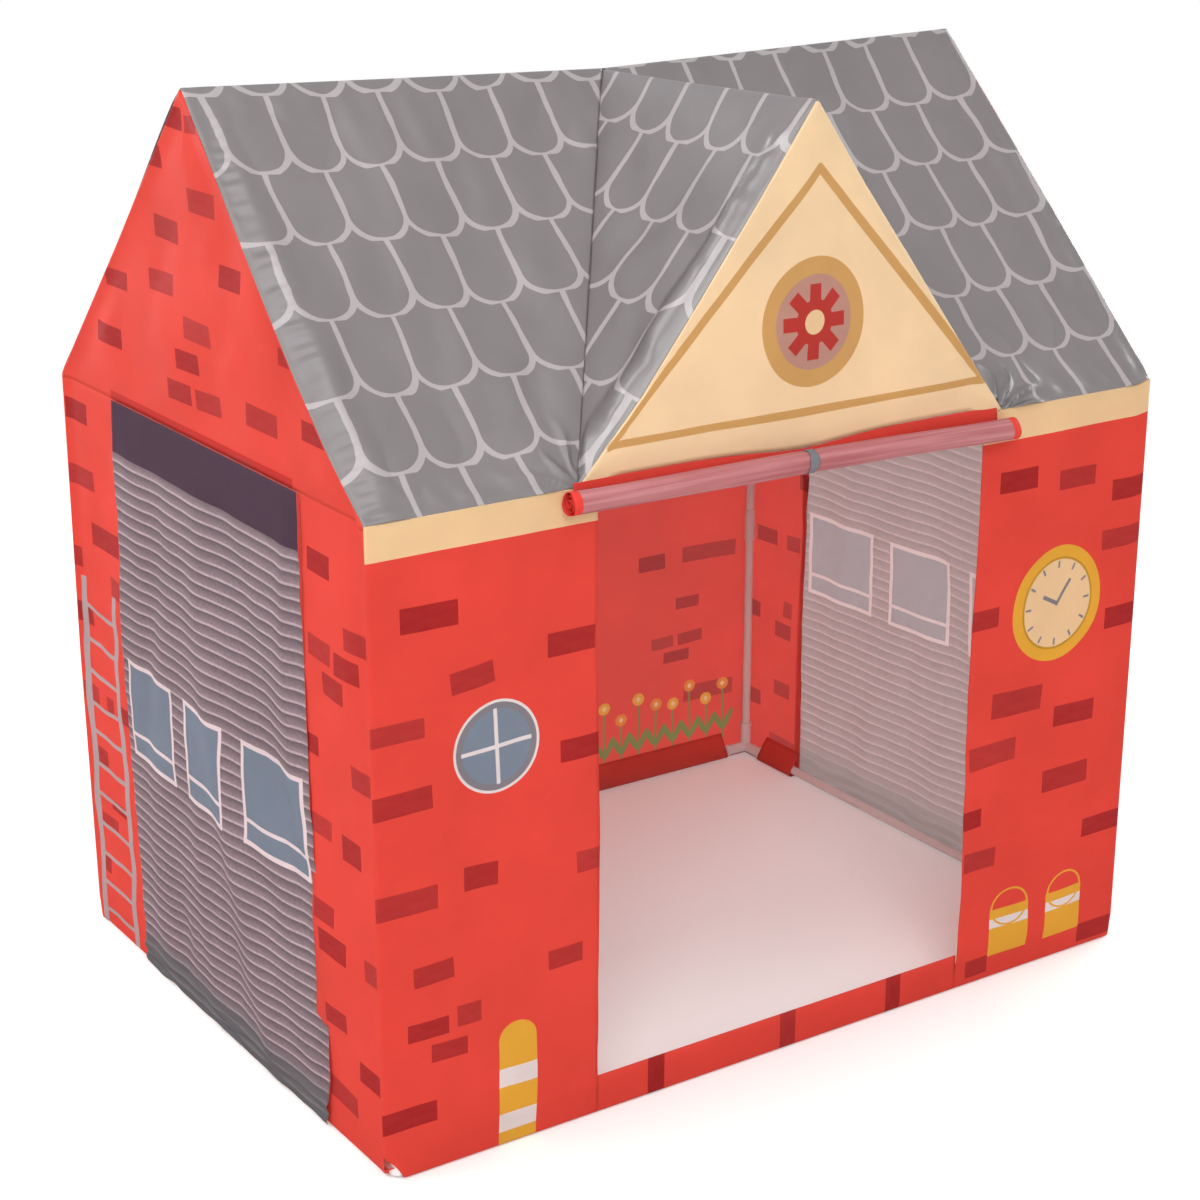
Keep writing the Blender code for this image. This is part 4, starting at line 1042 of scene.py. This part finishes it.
def roll_print(tree, where):
    """The pale back of the red print, with fine streaks of painted sheen along it, and red where the edges turn
    over.
    """
    long = add_node(tree, "Mapping", {0: where, 3: (5, 210, 1)})
    # Pale and darker streaks along the roll: a painted sheen
    painted_sheen = add_node(tree, "TexNoise", {"Vector": long, "Scale": 1.0, "Detail": 4.0})
    painted_sheen = add_node(tree, "MapRange", {0: painted_sheen, 1: 0.35, 2: 0.65, 3: 0.0, 4: 1.0})
    inputs = {0: painted_sheen, 6: linear("#A86265"), 7: linear("#C08284")}
    ink = add_node(tree, "Mix", inputs, output=2, data_type="RGBA")
    for end in (0.0, DOOR_WIDTH):
        ink = shape(tree, where, ink, "#DB423A", (end, 0.3), (0.009, 0.5))
    return shape(tree, where, ink, "#C8352F", (0.29, 0.36), (0.3, 0.27))


def roll_bend(x):
    """How much higher than its straight axis the roll hangs at a place along it."""
    places_along = (-0.30, -0.20, -0.08, 0.02, 0.12, 0.30)
    return np.interp(x, places_along, (0.0125, 0.0118, 0.0110, 0.0104, 0.0088, 0.0035))


# The print's back is a dusty pink, with streaks of painted sheen along the roll.
roll_cloth = printed_cloth("unprinted back of red polyester", roll_print, 0.5, through=0.1, back_share=0)
step = np.arange(int(ROLL_TURNS * ROLL_STEPS) + 1)[:, None]
share = np.linspace(0, 1, 101)[None]
x = ROLL_LOW[0] - 0.0105 + (ROLL_HIGH[0] - ROLL_LOW[0] - 0.001) * share
# One spiral from the outside in, looser, more uneven and ragged at its two ends
angle = math.tau * step / ROLL_STEPS
radius = ROLL_RADIUS - ROLL_PITCH * step / ROLL_STEPS
loose = 1 - easing(np.minimum(share, 1 - share) * DOOR_WIDTH, 0.03)
uneven = 0.03 * np.sin(2 * angle + 9 * share) + 0.05 * loose * np.sin(3 * angle + step * 0.011)
radius = radius * (1 + uneven - 0.02) + 0.0011 * loose * np.sin(angle * 0.37) * easing(step, 60)
pinch = 0.0010 * np.exp(-(x / 0.012) ** 2)
radius = np.maximum(radius - pinch * (step < ROLL_STEPS * 3), 0.0008)
ragged = 0.004 * loose * np.sin(step * 0.045 + 1) * np.sign(share - 0.5)
centre_z = ROLL_Z + roll_bend(x)
points = grid(x + ragged, ROLL_Y + radius * np.cos(angle), centre_z - radius * np.sin(angle))
wound = np.concatenate([[0], (radius[:-1, 50] * math.tau / ROLL_STEPS).cumsum()])
flat = grid(share * DOOR_WIDTH, wound[:, None])
roll = cloth("door_roll_cloth", points, flat, roll_cloth, thickness=0.0003)
dress(roll, "door_roll",
      body="door")

# Head strip of the door
# The part of the door that isn't rolled: it runs from the pediment's foot down behind the roll. Its print and
# bricks are laid out over the length of the hanging door.
HEAD_OVERLAP = 0.0066
HEAD_BRICKS = [
    (340, 400, 280, 305), (520, 580, 240, 265), (680, 740, 300, 325), (270, 330, 170, 195),
    (440, 500, 120, 145), (620, 680, 170, 195),
]
share = np.linspace(0, 1, 41)[:, None]
x = np.linspace(LEFT_JAMB - 0.029, RIGHT_JAMB + 0.019, 121)[None]
top = PEDIMENT_FOOT + HEAD_OVERLAP - foot_dip(x) - 0.002 * easing(x - RIGHT_JAMB + 0.022, 0.03)
foot = ROLL_Z + roll_bend(x) - 0.004
height = top + (foot - top) * share
bulge = 0.0012 * np.sin(math.pi * share) * (1 + 0.5 * ripple(x, 0 * x, 0.12, 92))
points = grid(x, FRONT - 0.0005 - bulge, height)
stays, follows = float(top.min()) - 0.0004, float(foot.max()) + 0.0002
flat = grid(x + HALF_LENGTH, DOOR_DROP * (height - follows) / (stays - follows))
head = cloth("door_head_cloth", points, flat, brick_cloth, HEAD_BRICKS)
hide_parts("door_head_strip")
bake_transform(head)

# Roll tie
# A narrow band of grey polyester, sewn to the pediment's foot and passed round the roll.
TIE_WIDTH = 0.011
TIE_ROUND = np.radians((80, 290))


def tie_print(tree, where):
    """Plain grey."""
    ink = add_node(tree, "RGB")
    ink.default_value = linear("#77767C")
    return ink


# A tightly woven band, smoother and denser than the cloth round it.
tie_cloth = printed_cloth("grey polyester band", tie_print, 0.45, through=0.1, back_share=0)
angle = np.linspace(*TIE_ROUND, 57)
radius = ROLL_RADIUS + 0.0003
centre_z = ROLL_Z + roll_bend(0)
y = np.concatenate([[FRONT - 0.0034], ROLL_Y + radius * np.cos(angle), [FRONT - 0.0010]])
sewn_z = PEDIMENT_FOOT - foot_dip(0) + 0.0035
z = np.concatenate([[sewn_z], centre_z + radius * np.sin(angle), [centre_z - 0.004]])
run = np.concatenate([[0], np.hypot(np.diff(y), np.diff(z)).cumsum()])
across = np.linspace(-0.5, 0.5, 7)[None] * TIE_WIDTH * (1 + 0.12 * np.sin(run * 260))[:, None]
slip = -0.004 + 0.0015 * np.sin(run * 90)[:, None]
points = grid(across + slip, y[:, None], z[:, None])
flat = grid(across, run[:, None])
tie = cloth("roll_tie_cloth", points, flat, tie_cloth, thickness=0.0006)
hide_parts("roll_tie")
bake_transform(tie)

# Frame
# White polypropylene tubes, pushed by hand into moulded connectors of the same plastic. They are shown as packed.
# Extruded and moulded plastic is smooth and slightly glossy, with faint scuffs from being put together.
plastic, tree = new_material("extruded white plastic")
where = add_node(tree, "TexCoord", output=3)
scuff = add_node(tree, "TexNoise", {"Vector": where, "Scale": 90.0, "Detail": 5.0})
rough = add_node(tree, "MapRange", {0: scuff, 1: 0.3, 2: 0.7, 3: 0.28, 4: 0.42})
bump = add_node(tree, "Bump", {"Height": scuff, "Strength": 0.1, "Distance": 0.0005})
inputs = {"Base Color": linear("#E6E3E2"), "Roughness": rough, "IOR": 1.48, "Normal": bump}
add_node(tree, "OutputMaterial", {0: add_node(tree, "BsdfPrincipled", inputs)})
for item in frame["record"]["subparts"]:
    if item["material_slot"] == "white_plastic":
        node = frame["nodes"][item["node"]]
        node.data.materials.clear()
        node.data.materials.append(plastic)

# Floor, light and backdrop
# A pale floor keeps the tent's shadow, and the backdrop is plain white for the camera. Six soft lamps stand round
# the tent: those at its right and behind it shine through the cloth, which makes the far walls glow.
HALF_FLOOR = 12
floor_mesh = bpy.data.meshes.new("floor")
corners = [(x * HALF_FLOOR, y * HALF_FLOOR, 0) for x, y in ((-1, -1), (1, -1), (1, 1), (-1, 1))]
floor_mesh.from_pydata(corners, [], [(0, 1, 2, 3)])
floor = bpy.data.objects.new("floor", floor_mesh)
scene.collection.objects.link(floor)
# Matt white paper. Further out it turns to plain white for the camera, so that it ends in no edge.
paper, tree = new_material("white paper")
where = add_node(tree, "TexCoord", output=3)
far = add_node(tree, "VectorMath", {0: where}, output=1, operation="LENGTH")
far = add_node(tree, "MapRange", {0: far, 1: 1.2, 2: 3.0}, interpolation_type="SMOOTHSTEP")
path = add_node(tree, "LightPath").node
surface = add_node(tree, "BsdfPrincipled", {"Base Color": linear("#F4F3F1"), "Roughness": 0.9})
shine = add_node(tree, "Math", {0: path.outputs["Is Camera Ray"], 1: 0.14}, operation="MULTIPLY")
lift = add_node(tree, "Emission", {0: (1, 1, 1, 1), 1: shine})
lift = add_node(tree, "AddShader", {0: surface, 1: lift})
clear = add_node(tree, "Math", {0: path.outputs["Is Camera Ray"], 1: far}, operation="MULTIPLY")
white = add_node(tree, "Emission", {0: (1, 1, 1, 1), 1: 1.0})
both = add_node(tree, "MixShader", {0: clear, 1: lift, 2: white})
add_node(tree, "OutputMaterial", {0: both})
floor_mesh.materials.append(paper)

world = bpy.data.worlds.new("studio")
scene.world = world
world.use_nodes = True
tree = world.node_tree
tree.nodes.clear()
path = add_node(tree, "LightPath").node
seen = path.outputs["Is Camera Ray"]
for kind in ("Is Glossy Ray", "Is Transmission Ray"):
    seen = add_node(tree, "Math", {0: seen, 1: path.outputs[kind]}, operation="MAXIMUM")
level = add_node(tree, "MapRange", {0: seen, 3: 0.58, 4: 1.0})
background = add_node(tree, "Background", {0: (1, 1, 1, 1), 1: level})
add_node(tree, "OutputWorld", {0: background})

# Each lamp with its place, the spot that it faces, its power in watts and its width and height in metres.
LAMPS = (
    ("key", (-1.6, -2.9, 2.6), (0, 0, 0.5), 76, (2.4, 2.4)),
    ("fill", (-3.4, -0.7, 1.6), (0, 0, 0.5), 8, (2.6, 2.6)),
    ("high left", (-2.4, 0.1, 3.0), (0, 0, 0.8), 42, (1.6, 2.0)),
    ("top", (-0.3, -1.2, 3.6), (-0.3, -0.3, 0.9), 14, (1.4, 1.0)),
    ("right", (4.0, 0.6, 1.1), (0, 0, 0.5), 150, (2.6, 2.6)),
    ("back", (-0.9, 4.0, 1.0), (0, 0, 0.5), 125, (2.6, 2.6)),
)
for name, place, target, power, size in LAMPS:
    lamp = bpy.data.objects.new(name, bpy.data.lights.new(name, "AREA"))
    lamp.data.energy = power
    lamp.data.shape = "RECTANGLE"
    lamp.data.size, lamp.data.size_y = size
    spot = Vector(place)
    turned = (Vector(target) - spot).to_track_quat("-Z", "Y").to_matrix().to_4x4()
    lamp.matrix_world = Matrix.Translation(spot) @ turned
    scene.collection.objects.link(lamp)

scene.view_settings.view_transform = "Standard"
